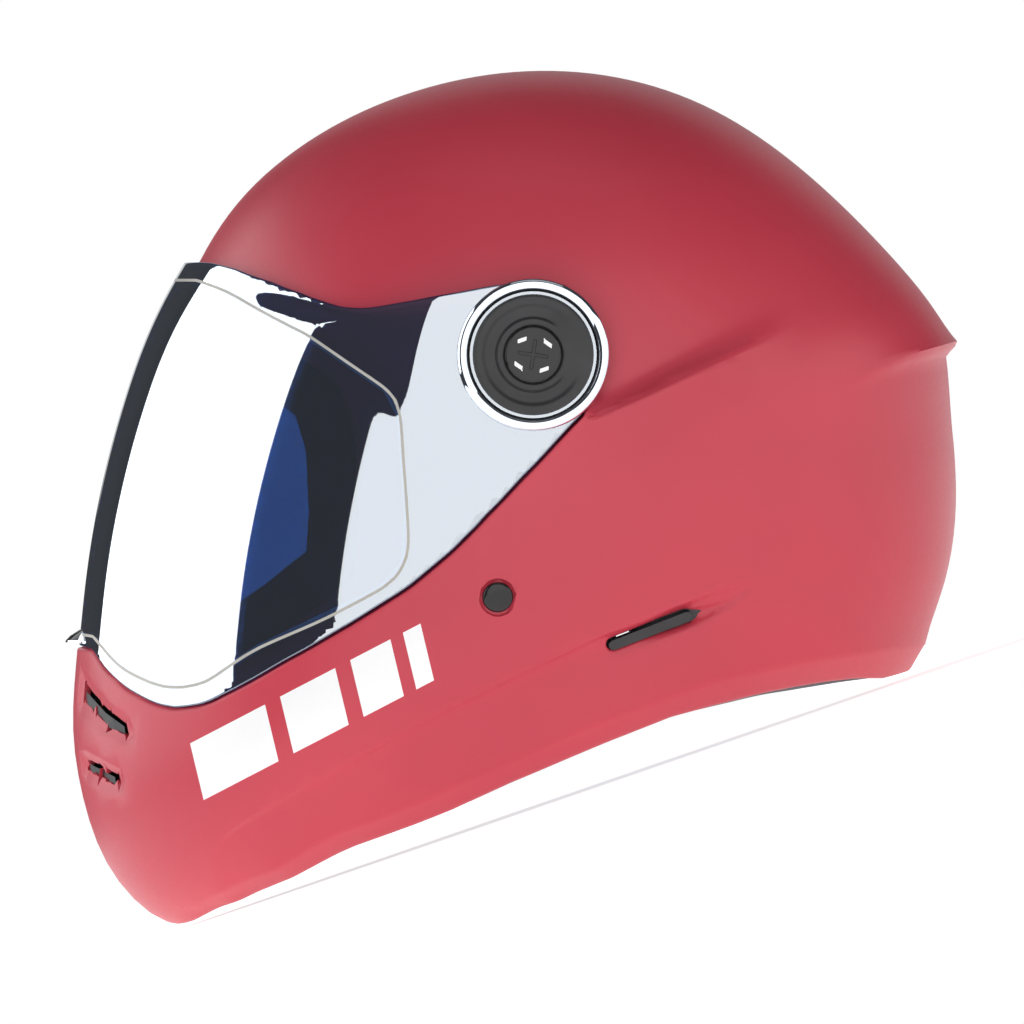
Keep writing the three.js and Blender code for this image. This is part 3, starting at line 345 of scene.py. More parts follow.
def box_field(p, lo, hi):
    return np.all((p >= lo) & (p <= hi), axis=1)


# ---------------------------------------------------------------- materials
def nodes_of(name):
    mt = bpy.data.materials.new(name)
    mt.use_nodes = True
    nt = mt.node_tree
    b = nt.nodes["Principled BSDF"]
    return mt, nt, b


def add(nt, kind, **vals):
    n = nt.nodes.new(kind)
    for k, v in vals.items():
        if k in n.inputs.keys():
            n.inputs[k].default_value = v
        else:
            setattr(n, k, v)
    return n


def coords(nt, scale=(1, 1, 1)):
    tc = add(nt, "ShaderNodeTexCoord")
    mp = add(nt, "ShaderNodeMapping")
    mp.inputs["Scale"].default_value = scale
    nt.links.new(tc.outputs["Object"], mp.inputs["Vector"])
    return mp.outputs["Vector"]


def mix_color(nt, fac, a, b):
    n = nt.nodes.new("ShaderNodeMix")
    n.data_type = "RGBA"
    n.inputs[6].default_value = (*a, 1)
    n.inputs[7].default_value = (*b, 1)
    nt.links.new(fac, n.inputs[0])
    return n.outputs[2]


def map_range(nt, v, a, b, c, d):
    n = add(nt, "ShaderNodeMapRange")
    for i, val in zip((1, 2, 3, 4), (a, b, c, d)):
        n.inputs[i].default_value = val
    nt.links.new(v, n.inputs[0])
    return n.outputs[0]


def satin_paint():
    """Solid-colour satin lacquer: a little mottling and fine orange peel."""
    mt, nt, b = nodes_of("satin_red_lacquer")
    v = coords(nt)
    big = add(nt, "ShaderNodeTexNoise", Scale=14.0, Detail=4.0)
    nt.links.new(v, big.inputs["Vector"])
    col = mix_color(nt, map_range(nt, big.outputs[0], 0.3, 0.7, 0, 1), (0.500, 0.036, 0.062), (0.545, 0.043, 0.070))
    # generic bars printed on the jaw: lines across a leaning pair of axes in the side view
    sep = add(nt, "ShaderNodeSeparateXYZ")
    tc = add(nt, "ShaderNodeTexCoord")
    nt.links.new(tc.outputs["Object"], sep.inputs[0])

    def lin(ax, az, c):
        m1 = add(nt, "ShaderNodeMath", operation="MULTIPLY_ADD")
        m1.inputs[1].default_value, m1.inputs[2].default_value = ax, c
        nt.links.new(sep.outputs[0], m1.inputs[0])
        m2 = add(nt, "ShaderNodeMath", operation="MULTIPLY_ADD")
        m2.inputs[1].default_value = az
        nt.links.new(sep.outputs[2], m2.inputs[0])
        nt.links.new(m1.outputs[0], m2.inputs[2])
        return m2.outputs[0]

    def within(v_, c, half):
        n_ = add(nt, "ShaderNodeMath", operation="COMPARE")
        n_.inputs[1].default_value, n_.inputs[2].default_value = c, half
        nt.links.new(v_, n_.inputs[0])
        return n_.outputs[0]

    o_ = np.array([-116.0, -160.0])
    t_ = np.array([0.887, 0.462])
    n__ = np.array([-t_[1], t_[0]])
    # design (x, z) from resting (X, Z): x = (X-PX) ct - (Z-PZ) st, z = (X-PX) st + (Z-PZ) ct, in mm
    def row_coeffs(d):
        ax = d[0] * CT + d[1] * ST
        az = -d[0] * ST + d[1] * CT
        return ax * 1000, az * 1000, -(ax * PX + az * PZ) - float(d @ o_)

    ub = lin(*row_coeffs(t_ - 0.25 * n__))
    vb = lin(*row_coeffs(n__))
    total = None
    for c0, c1 in ((0, 30), (36, 58), (64, 80), (85, 92)):
        w_ = within(ub, (c0 + c1) / 2, (c1 - c0) / 2)
        if total is None:
            total = w_
        else:
            ad_ = add(nt, "ShaderNodeMath", operation="ADD")
            nt.links.new(total, ad_.inputs[0]); nt.links.new(w_, ad_.inputs[1])
            total = ad_.outputs[0]
    mu_ = add(nt, "ShaderNodeMath", operation="MULTIPLY")
    nt.links.new(total, mu_.inputs[0]); nt.links.new(within(vb, 12.5, 10.0), mu_.inputs[1])
    fin = nt.nodes.new("ShaderNodeMix")
    fin.data_type = "RGBA"
    nt.links.new(mu_.outputs[0], fin.inputs[0])
    nt.links.new(col, fin.inputs[6])
    fin.inputs[7].default_value = (0.90, 0.90, 0.90, 1)
    nt.links.new(fin.outputs[2], b.inputs["Base Color"])
    peel = add(nt, "ShaderNodeTexNoise", Scale=900.0, Detail=3.0, Roughness=0.55)
    nt.links.new(v, peel.inputs["Vector"])
    nt.links.new(map_range(nt, peel.outputs[0], 0.25, 0.75, 0.40, 0.50), b.inputs["Roughness"])
    bump = add(nt, "ShaderNodeBump", Strength=0.10, Distance=0.00012)
    nt.links.new(peel.outputs[0], bump.inputs["Height"])
    nt.links.new(bump.outputs[0], b.inputs["Normal"])
    b.inputs["Specular IOR Level"].default_value = 0.42
    b.inputs["Coat Weight"].default_value = 0.18
    b.inputs["Coat Roughness"].default_value = 0.32
    return mt


def print_white():
    """Screen-printed white ink under the satin lacquer."""
    mt, nt, b = nodes_of("white_print")
    v = coords(nt)
    n = add(nt, "ShaderNodeTexNoise", Scale=700.0, Detail=4.0)
    nt.links.new(v, n.inputs["Vector"])
    nt.links.new(mix_color(nt, n.outputs[0], (0.88, 0.88, 0.87), (0.94, 0.94, 0.94)), b.inputs["Base Color"])
    nt.links.new(map_range(nt, n.outputs[0], 0.2, 0.8, 0.36, 0.46), b.inputs["Roughness"])
    bump = add(nt, "ShaderNodeBump", Strength=0.06, Distance=0.0001)
    nt.links.new(n.outputs[0], bump.inputs["Height"])
    nt.links.new(bump.outputs[0], b.inputs["Normal"])
    return mt


def shell_inner():
    """Bare inner face of the moulding with its woven-laminate print-through."""
    mt, nt, b = nodes_of("shell_inside_laminate")
    v = coords(nt, (260, 260, 260))
    w1 = add(nt, "ShaderNodeTexWave", Scale=1.0, Distortion=0.6)
    w1.bands_direction = "X"
    w2 = add(nt, "ShaderNodeTexWave", Scale=1.0, Distortion=0.6)
    w2.bands_direction = "Z"
    nt.links.new(v, w1.inputs["Vector"]); nt.links.new(v, w2.inputs["Vector"])
    m_ = add(nt, "ShaderNodeMath", operation="MULTIPLY")
    nt.links.new(w1.outputs["Fac"], m_.inputs[0]); nt.links.new(w2.outputs["Fac"], m_.inputs[1])
    nt.links.new(mix_color(nt, m_.outputs[0], (0.030, 0.030, 0.032), (0.055, 0.054, 0.056)), b.inputs["Base Color"])
    bump = add(nt, "ShaderNodeBump", Strength=0.3, Distance=0.0002)
    nt.links.new(m_.outputs[0], bump.inputs["Height"])
    nt.links.new(bump.outputs[0], b.inputs["Normal"])
    nt.links.new(map_range(nt, m_.outputs[0], 0, 1, 0.62, 0.5), b.inputs["Roughness"])
    return mt


def moulded(name, dark, light, rough, grain=1800.0, bumpy=0.25, depth=0.00006, spec=0.5):
    """Moulded plastic or rubber with a spark-eroded grain."""
    mt, nt, b = nodes_of(name)
    v = coords(nt)
    n = add(nt, "ShaderNodeTexNoise", Scale=grain, Detail=4.0, Roughness=0.6)
    c = add(nt, "ShaderNodeTexNoise", Scale=60.0, Detail=3.0)
    nt.links.new(v, n.inputs["Vector"]); nt.links.new(v, c.inputs["Vector"])
    nt.links.new(mix_color(nt, map_range(nt, c.outputs[0], 0.3, 0.7, 0, 1), dark, light), b.inputs["Base Color"])
    nt.links.new(map_range(nt, n.outputs[0], 0.25, 0.75, rough - 0.06, rough + 0.07), b.inputs["Roughness"])
    bump = add(nt, "ShaderNodeBump", Strength=bumpy, Distance=depth)
    nt.links.new(n.outputs[0], bump.inputs["Height"])
    nt.links.new(bump.outputs[0], b.inputs["Normal"])
    b.inputs["Specular IOR Level"].default_value = spec
    return mt


def metal(name, color, rough, scratch=0.06, aniso=(900, 900, 60)):
    mt, nt, b = nodes_of(name)
    v = coords(nt, aniso)
    n = add(nt, "ShaderNodeTexNoise", Scale=1.0, Detail=5.0)
    nt.links.new(v, n.inputs["Vector"])
    dark = tuple(c * 0.88 for c in color)
    nt.links.new(mix_color(nt, n.outputs[0], dark, color), b.inputs["Base Color"])
    nt.links.new(map_range(nt, n.outputs[0], 0.25, 0.75, rough, rough + scratch), b.inputs["Roughness"])
    b.inputs["Metallic"].default_value = 1.0
    bump = add(nt, "ShaderNodeBump", Strength=0.05, Distance=0.00005)
    nt.links.new(n.outputs[0], bump.inputs["Height"])
    nt.links.new(bump.outputs[0], b.inputs["Normal"])
    return mt


def mirror_film(name, tint, share, color, rough=0.018):
    """Vapour-deposited mirror over a blue-grey sheet: share is reflected, the rest passes with a tint."""
    mt, nt, b = nodes_of(name)
    v = coords(nt)
    n = add(nt, "ShaderNodeTexNoise", Scale=9.0, Detail=2.0)
    nt.links.new(v, n.inputs["Vector"])
    nt.links.new(mix_color(nt, n.outputs[0], tuple(c * 0.985 for c in color), color), b.inputs["Base Color"])
    b.inputs["Metallic"].default_value = 1.0
    fine = add(nt, "ShaderNodeTexNoise", Scale=2500.0, Detail=2.0)
    nt.links.new(v, fine.inputs["Vector"])
    nt.links.new(map_range(nt, fine.outputs[0], 0.3, 0.7, rough, rough + 0.012), b.inputs["Roughness"])
    tr = add(nt, "ShaderNodeBsdfTransparent", Color=(*tint, 1))
    mx = add(nt, "ShaderNodeMixShader")
    lw = add(nt, "ShaderNodeLayerWeight", Blend=0.5)
    nt.links.new(map_range(nt, lw.outputs["Facing"], 0.5, 0.74, share, max(share, min(0.96, share + 0.42))), mx.inputs[0])
    out = nt.nodes["Material Output"]
    nt.links.new(tr.outputs[0], mx.inputs[1])
    nt.links.new(b.outputs[0], mx.inputs[2])
    nt.links.new(mx.outputs[0], out.inputs["Surface"])
    return mt


M_PAINT, M_WHITE, M_INNER = satin_paint(), print_white(), shell_inner()
M_VISOR = mirror_film("visor_mirror", (0.24, 0.50, 0.98), 0.55, (0.90, 0.955, 1.0))
M_VISOR_BACK = mirror_film("visor_back_face", (0.94, 0.97, 1.0), 0.05, (0.8, 0.85, 0.9), 0.03)
M_VISOR_EDGE = mirror_film("visor_edge", (0.10, 0.22, 0.46), 0.30, (0.70, 0.82, 1.0), 0.08)
M_SEAL = moulded("silicone_seal", (0.42, 0.40, 0.36), (0.50, 0.48, 0.44), 0.45, 900, 0.1)
M_BLACK = moulded("grained_black_plastic", (0.018, 0.018, 0.019), (0.028, 0.028, 0.030), 0.46)
M_GLOSS = moulded("polished_black_plastic", (0.008, 0.008, 0.009), (0.012, 0.012, 0.013), 0.16, 600, 0.04)
M_RUBBER = moulded("soft_black_rubber", (0.012, 0.012, 0.013), (0.022, 0.022, 0.023), 0.72, 1200, 0.35, 0.0001, 0.35)
M_CHROME = metal("mirror_rim", (0.86, 0.92, 1.0), 0.04, 0.03, (300, 300, 300))
M_STEEL = metal("brushed_steel", (0.62, 0.63, 0.65), 0.22, 0.16)
M_ZINC = metal("zinc_plate", (0.50, 0.51, 0.53), 0.34, 0.14, (600, 600, 600))

# ---------------------------------------------------------------- side-view lines
LOWER = smooth_line(VISOR_LOWER, 3.0)
UPPER = smooth_line(VISOR_UPPER, 3.0)
rim = np.array([[27 * math.cos(math.radians(a)), 27 * math.sin(math.radians(a))] for a in np.arange(112, -46, -5.0)])
k_lo = np.where(np.hypot(LOWER[:, 0], LOWER[:, 1]) > 27.3)[0]
VISOR_OUTLINE = np.concatenate([[[-185, 33.8]], UPPER, rim, LOWER[k_lo][::-1], [[-163, -102.6], [-185, -101.5]]])
LIP_LINE = np.concatenate([[[-182, -98]], VISOR_LOWER[::2], SHOULDER, [[125, 22], [160, 30]]])
RIDGE_S = smooth_line(RIDGE, 6.0)
BOTTOM_S = BOTTOM
EYE = smooth_line(EYEPORT, 4.0, True)
SEAL_S = np.concatenate([[[-185, 29]], smooth_line(SEAL, 4.0), [[-185, -96]]])
PANEL_R = np.concatenate([smooth_line(PANEL, 5.0), [[-100, -230], [140, -150], [110, -78]]])
TAIL = np.array([[108.6, -10.3], [114.6, -7.5], [132.1, 0.0], [150.6, 5.3], [175.0, 11.5]])
UPPER_VENT = np.array([[-163, -113.5], [-157.6, -120], [-151.5, -126.5], [-144.6, -131.4], [-144.2, -135.2], [-152.2, -131.6], [-158.6, -125.4], [-164.5, -118]])
LOWER_VENT = np.array([[-159.4, -143.6], [-152.4, -147.2], [-148, -149.4], [-147.6, -153], [-153.5, -151.4], [-160, -147.2]])
SLOT_A, SLOT_B = np.array([28.4, -102.7]), np.array([54.7, -92.5])
SLOT_T = (SLOT_B - SLOT_A) / np.hypot(*(SLOT_B - SLOT_A))
SLOT_N = np.array([-SLOT_T[1], SLOT_T[0]])
SLOT_LEN = float(np.hypot(*(SLOT_B - SLOT_A)))
RIVET = (-12.46, -85.8)


# ---------------------------------------------------------------- base surfaces
def jaw_weight(x, z):
    d = below(LIP_LINE, x, z)
    near = np.clip((d + 9) / 9, 0, 1)
    w = np.where(d < -1, near ** 2, np.where(d < 1, 0.79 + 0.21 * smooth(-1, 1, d), 1.0))
    return w * (1 - smooth(24, 95, x)) * (1 - smooth(12, 75, d))


def crown_field(x, y, z):
    dx, dz = x - CENTRE[0], z - CENTRE[1]
    a = np.arctan2(dz, dx)
    s = np.hypot(dx, dz) / outline_radius(a)
    return s ** section_power(a) + (np.abs(y) / 120) ** 2.2 - 1


def jaw_field(x, y, z):
    u = np.maximum(0, (140 - (x - front_x(z) + 0.5)) / 140)
    return u ** 2.3 + (np.abs(y) / 124.3) ** 2 - 1


def shell_field(p):
    x, y, z = p.T
    w = jaw_weight(x, z)
    return w * jaw_field(x, y, z) + (1 - w) * crown_field(x, y, z)


def recess_field(p, d=6.9):
    x, y, z = p.T
    u = np.maximum(0, (140 - d - (x - front_x(z) - d)) / (140 - d))
    return u ** 2.3 + (np.abs(y) / (123.8 - d)) ** 2 - 1


C3 = np.array([CENTRE[0], 0, CENTRE[1]])


def solve(dirs, field, lo=0.45, hi=1.45, n=17):
    lo = np.full(len(dirs), lo)
    hi = np.full(len(dirs), hi)
    for _ in range(n):
        t = (lo + hi) / 2
        neg = field(C3 + dirs * t[:, None]) < 0
        lo = np.where(neg, t, lo)
        hi = np.where(neg, hi, t)
    return (lo + hi) / 2


def project(q):
    """Places direction vectors from the shell's centre on its outer face."""
    t = solve(q, shell_field)
    return C3 + q * t[:, None]


def normals(p, field, e=0.5):
    g = np.stack([field(p + np.eye(3)[k] * e) - field(p - np.eye(3)[k] * e) for k in range(3)], 1)
    return g / np.maximum(np.linalg.norm(g, axis=1, keepdims=True), 1e-12)


def shell_y(x, z):
    """|y| of the shell's outer face at side-view points."""
    x, z = np.atleast_1d(np.asarray(x, float)), np.atleast_1d(np.asarray(z, float))
    lo, hi = np.zeros(len(x)), np.full(len(x), 140.0)
    for _ in range(30):
        m_ = (lo + hi) / 2
        neg = shell_field(np.stack([x, m_, z], 1)) < 0
        lo, hi = np.where(neg, m_, lo), np.where(neg, hi, m_)
    return lo


# ---------------------------------------------------------------- shell features, each a level-set function of a surface point
def g_visor(p):
    """Distance outside the visor's edge, with the recess tucked under the visor along its top edge."""
    x, y, z = p.T
    d = inside(VISOR_OUTLINE, x, z)
    lower = 1 - smooth(-6, 6, below(LIP_LINE, x, z) * -1 - 4)
    return d + (1 - lower) * 3.2


g_ridge = lambda p: below(RIDGE_S, p[:, 0], p[:, 2])
g_bottom = lambda p: -below(BOTTOM_S, p[:, 0], p[:, 2])       # positive above the edge
g_eye = lambda p: inside(EYE, p[:, 0], p[:, 2])
g_panel = lambda p: inside(PANEL_R, p[:, 0], p[:, 2])
g_lip = lambda p: below(LIP_LINE, p[:, 0], p[:, 2])
g_tail = lambda p: below(TAIL, p[:, 0], p[:, 2])
g_uvent = lambda p: np.maximum(inside(UPPER_VENT, p[:, 0], p[:, 2]), 24 - np.abs(p[:, 1]))
g_lvent = lambda p: np.maximum(inside(LOWER_VENT, p[:, 0], p[:, 2]), 24 - np.abs(p[:, 1]))


def slot_coords(p):
    r = p[:, [0, 2]] - SLOT_A
    return r @ SLOT_T, r @ SLOT_N


def g_slot(p):
    s, n = slot_coords(p)
    return np.hypot(s - np.clip(s, 0, SLOT_LEN), n) - 2.07


def near_slot(p):
    s, n = slot_coords(p)
    return (s > -8) & (s < 66) & (np.abs(n) < 12)


RIVET_Y = float(shell_y([RIVET[0]], [RIVET[1]])[0])
RIVET_N = np.array([0.06702, 0.97852, -0.19497])


def g_rivet(p):
    r = np.stack([p[:, 0] - RIVET[0], np.abs(p[:, 1]) - RIVET_Y, p[:, 2] - RIVET[1]], 1)
    h = r @ RIVET_N
    return np.sqrt(np.maximum((r ** 2).sum(1) - h ** 2, 0)) 


def depth_map(p):
    """How far each point of the outer face is pressed in (positive) or stands out (negative)."""
    x, y, z = p.T
    d = np.zeros(len(p))
    dr = g_ridge(p)
    front = smooth(-126, -112, x)
    d += ramp(dr, 1.3) * 0.60 * front * (1 - 0.35 * smooth(100, 140, x))
    gp = -g_panel(p)
    d += 1.7 * smooth(0, 2.6, gp) * (1 - smooth(3, 27, gp)) * (1 - smooth(52, 84, x)) * smooth(-118, -100, x + 0.2 * z + 34)
    s, n = slot_coords(p)
    # dish behind the exhaust slot, and the shallow lead-in below it
    half = 5.2 - 3.4 * smooth(34, 60, s)
    centre = 0.4 + 1.6 * smooth(28, 60, s)
    dish = (1 - smooth(0.35, 1.0, np.abs(n - centre) / half)) * smooth(6, 27, s) * (1 - smooth(30, 60, s))
    d += 2.6 * dish
    d += 0.9 * (1 - smooth(2.0, 5.4, np.abs(n))) * smooth(-5, 2, s) * (1 - smooth(28, 36, s))
    for g, r in ((g_uvent, 5.0), (g_lvent, 4.4)):
        v = g(p)
        d += 1.7 * (1 - smooth(0.3, r, v)) ** 1.4
    rv = g_rivet(p)
    d += 1.3 * (1 - smooth(6.2, 6.7, rv))
    # ducktail: a sharp lip above its crease, tucked in below
    gt = g_tail(p)
    far = smooth(106, 150, x)
    lipup = np.where(gt <= 0, np.exp(-np.maximum(-gt, 0) / 6.0), 1 - smooth(0, 5.0, gt))
    d -= 3.6 * far * lipup
    d += 0.9 * smooth(0, 5, gt) * (1 - smooth(8, 40, gt)) * far * 1.6
    return d


def edge_round(v, r):
    """Inward pull of a rounded free edge; v is the distance from the edge."""
    q = np.clip(v / r, 0, 1)
    return r * (1 - np.sqrt(np.maximum(1 - (1 - q) ** 2, 0)))


def build_shell():
    NT, NP = 176, 108
    th = 2 * np.pi * np.arange(NT) / NT
    ph = np.pi * np.arange(1, NP) / NP
    q = [[0, -120.0, 0]]
    R = outline_radius(th)
    for p_ in ph:
        sn = math.sin(p_) ** 0.92
        cs = -np.sign(math.cos(p_)) * abs(math.cos(p_)) ** 0.92
        q += np.stack([sn * R * np.cos(th), np.full(NT, cs * 120), sn * R * np.sin(th)], 1).tolist()
    q.append([0, 120.0, 0])
    tris = []
    rowi = lambda j: 1 + j * NT + np.arange(NT)
    nxt = lambda j: 1 + j * NT + (np.arange(NT) + 1) % NT
    tris += np.stack([np.zeros(NT, int), rowi(0), nxt(0)], 1).tolist()
    for j in range(NP - 2):
        a, b, c, d_ = rowi(j), nxt(j), rowi(j + 1), nxt(j + 1)
        if j % 2:
            tris += np.concatenate([np.stack([a, c, b], 1), np.stack([b, c, d_], 1)]).tolist()
        else:
            tris += np.concatenate([np.stack([a, c, d_], 1), np.stack([a, d_, b], 1)]).tolist()
    last = len(q) - 1
    tris += np.stack([rowi(NP - 2), np.full(NT, last), nxt(NP - 2)], 1).tolist()
    sh = Sheet(q, tris, project)
    sh.cut(g_bottom)
    sh.drop(g_bottom(sh.centres()) < 0)
    sh.cut(g_eye)
    sh.drop(g_eye(sh.centres()) < 0)
    for lv in (0.25, 0.8, 1.6):
        sh.cut(lambda p: g_bottom(p) - lv)
    for lv in (0.3, 1.0, 2.0):
        sh.cut(lambda p: g_eye(p) - lv)
    for lv in (2.3, 1.9, 1.45, 1.0, 0.7, 0.48, 0.4, 0.15, -1.5):
        sh.cut(lambda p: g_visor(p) - lv)
    for lv in (-1.3, -0.45, 0.45, 1.3):
        sh.cut(lambda p: g_ridge(p) - lv, near=lambda p: p[:, 0] > -130)
    for lv in (0.0, -0.8, -1.7, -2.7, -5.0):
        sh.cut(lambda p: g_panel(p) - lv)
    for lv in (-4.5, -1.0, 0.0, 1.0):
        sh.cut(lambda p: g_lip(p) - lv, near=lambda p: (p[:, 0] > 12) & (p[:, 0] < 100))
    for lv in (-2.5, 0.0, 1.6, 3.2, 5.0):
        sh.cut(lambda p: g_tail(p) - lv, near=lambda p: p[:, 0] > 104)
    for g in (g_uvent, g_lvent):
        for lv in (0.0, 0.3, 1.2, 2.4, 3.6):
            sh.cut(lambda p: g(p) - lv)
    for lv in (0.0, 0.3, 1.0, 2.2):
        sh.cut(lambda p: g_slot(p) - lv)
    for k in np.arange(-4, 64, 3.4):
        sh.cut(lambda p: slot_coords(p)[0] - k, near=near_slot)
    for k in (-7, -5, -3.5, 3.5, 5, 7, 9):
        sh.cut(lambda p: slot_coords(p)[1] - k, near=near_slot)
    for lv in (3.0, 6.15, 6.45, 6.75):
        sh.cut(lambda p: g_rivet(p) - lv)
    c = sh.centres()
    sh.drop((g_uvent(c) < 0) | (g_lvent(c) < 0) | (g_slot(c) < 0) | (g_rivet(c) < 3.0))
    p = sh.p
    n = normals(p, shell_field)
    v = g_visor(p)
    t = solve(sh.q, lambda a: recess_field(a))
    t0 = solve(sh.q, shell_field)
    deep = C3 + sh.q * np.minimum(t, t0)[:, None]
    gb, ge = g_bottom(p), g_eye(p)
    d = depth_map(p) + edge_round(gb, 1.6) + np.minimum(edge_round(np.minimum(g_slot(p), 5), 0.9), 0.9)
    for g in (g_uvent, g_lvent):
        d = d + edge_round(np.maximum(g(p), 0), 0.3)
    lipd = np.where(v < 1.9, 1.5 - np.sqrt(np.maximum(1.5 ** 2 - np.clip(1.9 - v, 0, 1.5) ** 2, 0)), 0)
    lower_w = 1 - smooth(-6, 6, below(LIP_LINE, p[:, 0], p[:, 2]) * -1 - 4)
    up = p - n * (d + lipd * (0.25 + 0.75 * lower_w))[:, None]
    w = 1 - smooth(0.15, 0.48, v)
    outer = up + (deep - up) * w[:, None]
    outer -= n * (edge_round(ge, 1.0) * (w > 0.5))[:, None]
    w2 = 1 - smooth(0.6, 5.6, v)
    base = p - n * (ramp(g_ridge(p), 1.3) * 0.60 * smooth(-126, -112, p[:, 0]) * (1 - 0.35 * smooth(100, 140, p[:, 0])))[:, None]
    inner = base + (deep - base) * w2[:, None]
    inner = inner - n * (4.0 + 0 * w2)[:, None]
    pts, tri, kinds = closed(sh, outer, inner)
    kinds = np.where(kinds == 1, 1, 0)
    ob = piece("shell", pts, tri, [M_PAINT, M_INNER], kinds, 50, replaces=("outer_shell",))
    print("shell faces", len(tri), "rims", len(sh.rims()))
    return ob


build_shell()


# ---------------------------------------------------------------- visor
CREASE = np.array([[-125, 24], [-100.0, 17.5], [-76.5, 11.0], [-63.0, 13.9], [-42.0, 18.2], [-34.5, 21.0], [-20, 26]])


def visor_place(q, depth=0.0, normal=False):
    s, a, z = np.sign(q[:, 0]), np.abs(q[:, 0]), q[:, 1]
    beta = np.radians(np.minimum(a, 90))
    e = np.maximum(a - 90, 0) * 2.0
    u = np.cos(beta) ** (2 / 2.3)
    x = front_x(z) + 140 * (1 - u) + e
    y = 123.8 * np.sin(beta)
    slope = (front_x(z + 1) - front_x(z - 1)) / 2
    gx = -2.3 * u ** 1.3 / 140
    nv = np.stack([gx, 2 * y / 123.8 ** 2, -gx * slope], 1)
    flat = (1 - smooth(24, 58, np.hypot(x, z)))[:, None]
    y = y + (123.8 - y) * flat[:, 0] * (a > 40)
    nv /= np.linalg.norm(nv, axis=1, keepdims=True)
    nv = nv * (1 - flat) + flat * np.array([0, 1, 0])
    nv /= np.linalg.norm(nv, axis=1, keepdims=True)
    nv[:, 1] *= np.where(s == 0, 1, s)
    p = np.stack([x, y * s, z], 1)
    if normal:
        return p, nv
    return p - nv * depth


def grid(us, vs):
    U, V = np.meshgrid(us, vs, indexing="ij")
    q = np.stack([U.ravel(), V.ravel()], 1)
    nu, nv = len(us), len(vs)
    i, j = np.meshgrid(np.arange(nu - 1), np.arange(nv - 1), indexing="ij")
    a = (i * nv + j).ravel()
    b, c, d = a + nv, a + 1, a + nv + 1
    return q, np.concatenate([np.stack([a, b, d], 1), np.stack([a, d, c], 1)])


def g_out(p):
    return inside(VISOR_OUTLINE, p[:, 0], p[:, 2])


def visor_sheet(step, poly, hole, depth_levels, extra=()):
    q, t = grid(np.arange(-117, 117.1, step), np.arange(-129, 38, step * 1.2))
    sh = Sheet(q, t, visor_place)
    g = lambda p: inside(poly, p[:, 0], p[:, 2])
    sh.cut(g)
    sh.drop(g(sh.centres()) > 0)
    if hole:
        gh = lambda p: hole - np.hypot(p[:, 0], p[:, 2])
        sh.cut(gh)
        sh.drop(gh(sh.centres()) > 0)
    for lv in depth_levels:
        sh.cut(lambda p: g(p) + lv)
    for f in extra:
        sh.cut(f)
    return sh, g


def build_visor():
    seal = SEAL_S
    sd = lambda p: inside(seal, p[:, 0], p[:, 2])
    sh, g = visor_sheet(1.6, VISOR_OUTLINE, 13.4, (0.12, 0.35, 0.7),
                        (lambda p: below(CREASE, p[:, 0], p[:, 2]), lambda p: below(CREASE, p[:, 0], p[:, 2]) + 0.8,
                         lambda p: sd(p) + 0.2, lambda p: sd(p) + 1.2))
    p, n = visor_place(sh.q, normal=True)
    up_ = -below(CREASE, p[:, 0], p[:, 2])
    fade = smooth(-112, -72, p[:, 0]) * (1 - smooth(-46, -26, p[:, 0]))
    bend = np.minimum(ramp(up_, 0.5) * 0.5, 3.0) * fade
    rnd = edge_round(np.maximum(-g(p), 0), 0.7)
    outer = p - n * (bend + rnd)[:, None]
    inner = p - n * (2.4 + bend - rnd * 0.5)[:, None]
    pts, tri, kinds = closed(sh, outer, inner)
    c = sh.centres()
    band = (sd(c) < -0.2) & (sd(c) > -1.2) & (c[:, 0] > -170)
    kinds[:len(sh.t)][band] = 3
    rimv = -g(c) < 0.7
    kinds[:len(sh.t)][rimv & (kinds[:len(sh.t)] == 0)] = 2
    piece("visor", pts, tri, [M_VISOR, M_VISOR_BACK, M_VISOR_EDGE, M_SEAL], kinds, 40, body="visor", replaces=("visor_lens",))
    q, t = grid(np.arange(-117, 117.1, 3), np.arange(-129, 38, 3.6))
    for name, d0, d1, mats, slot_, node in (("antifog_insert", 3.4, 4.2, [M_VISOR_BACK], "insert", "antifog_lens"),):
        s2, _ = visor_sheet(3.0, seal, 0, ())
        a, b_ = visor_place(s2.q, d0), visor_place(s2.q, d1)
        pp, tt, kk = closed(s2, a, b_)
        piece(name, pp, tt, mats, None, 40, body="visor", replaces=(node,))


def lathe(profile, side, seg=96, centre=(0, 0)):
    """Turned about the Y axis through centre; profile is a closed or axis-to-axis list of (radius, |y|)."""
    pr = np.asarray(profile, float)
    n = len(pr)
    a = 2 * np.pi * np.arange(seg) / seg
    pts = np.stack([centre[0] + pr[:, 0][:, None] * np.cos(a), np.repeat(side * pr[:, 1][:, None], seg, 1),
                    centre[1] + pr[:, 0][:, None] * np.sin(a)], -1).reshape(-1, 3)
    faces = []
    rng = range(n) if pr[0, 0] > 0.01 else range(n - 1)
    for i in rng:
        k = (i + 1) % n
        for j in range(seg):
            j2 = (j + 1) % seg
            f = [i * seg + j, i * seg + j2, k * seg + j2, k * seg + j]
            faces.append(f)
    return pts, faces


def arc_pts(cx, cy, r, a0, a1, n):
    return [(cx + r * math.cos(math.radians(a0 + (a1 - a0) * k / n)), cy + r * math.sin(math.radians(a0 + (a1 - a0) * k / n))) for k in range(n + 1)]


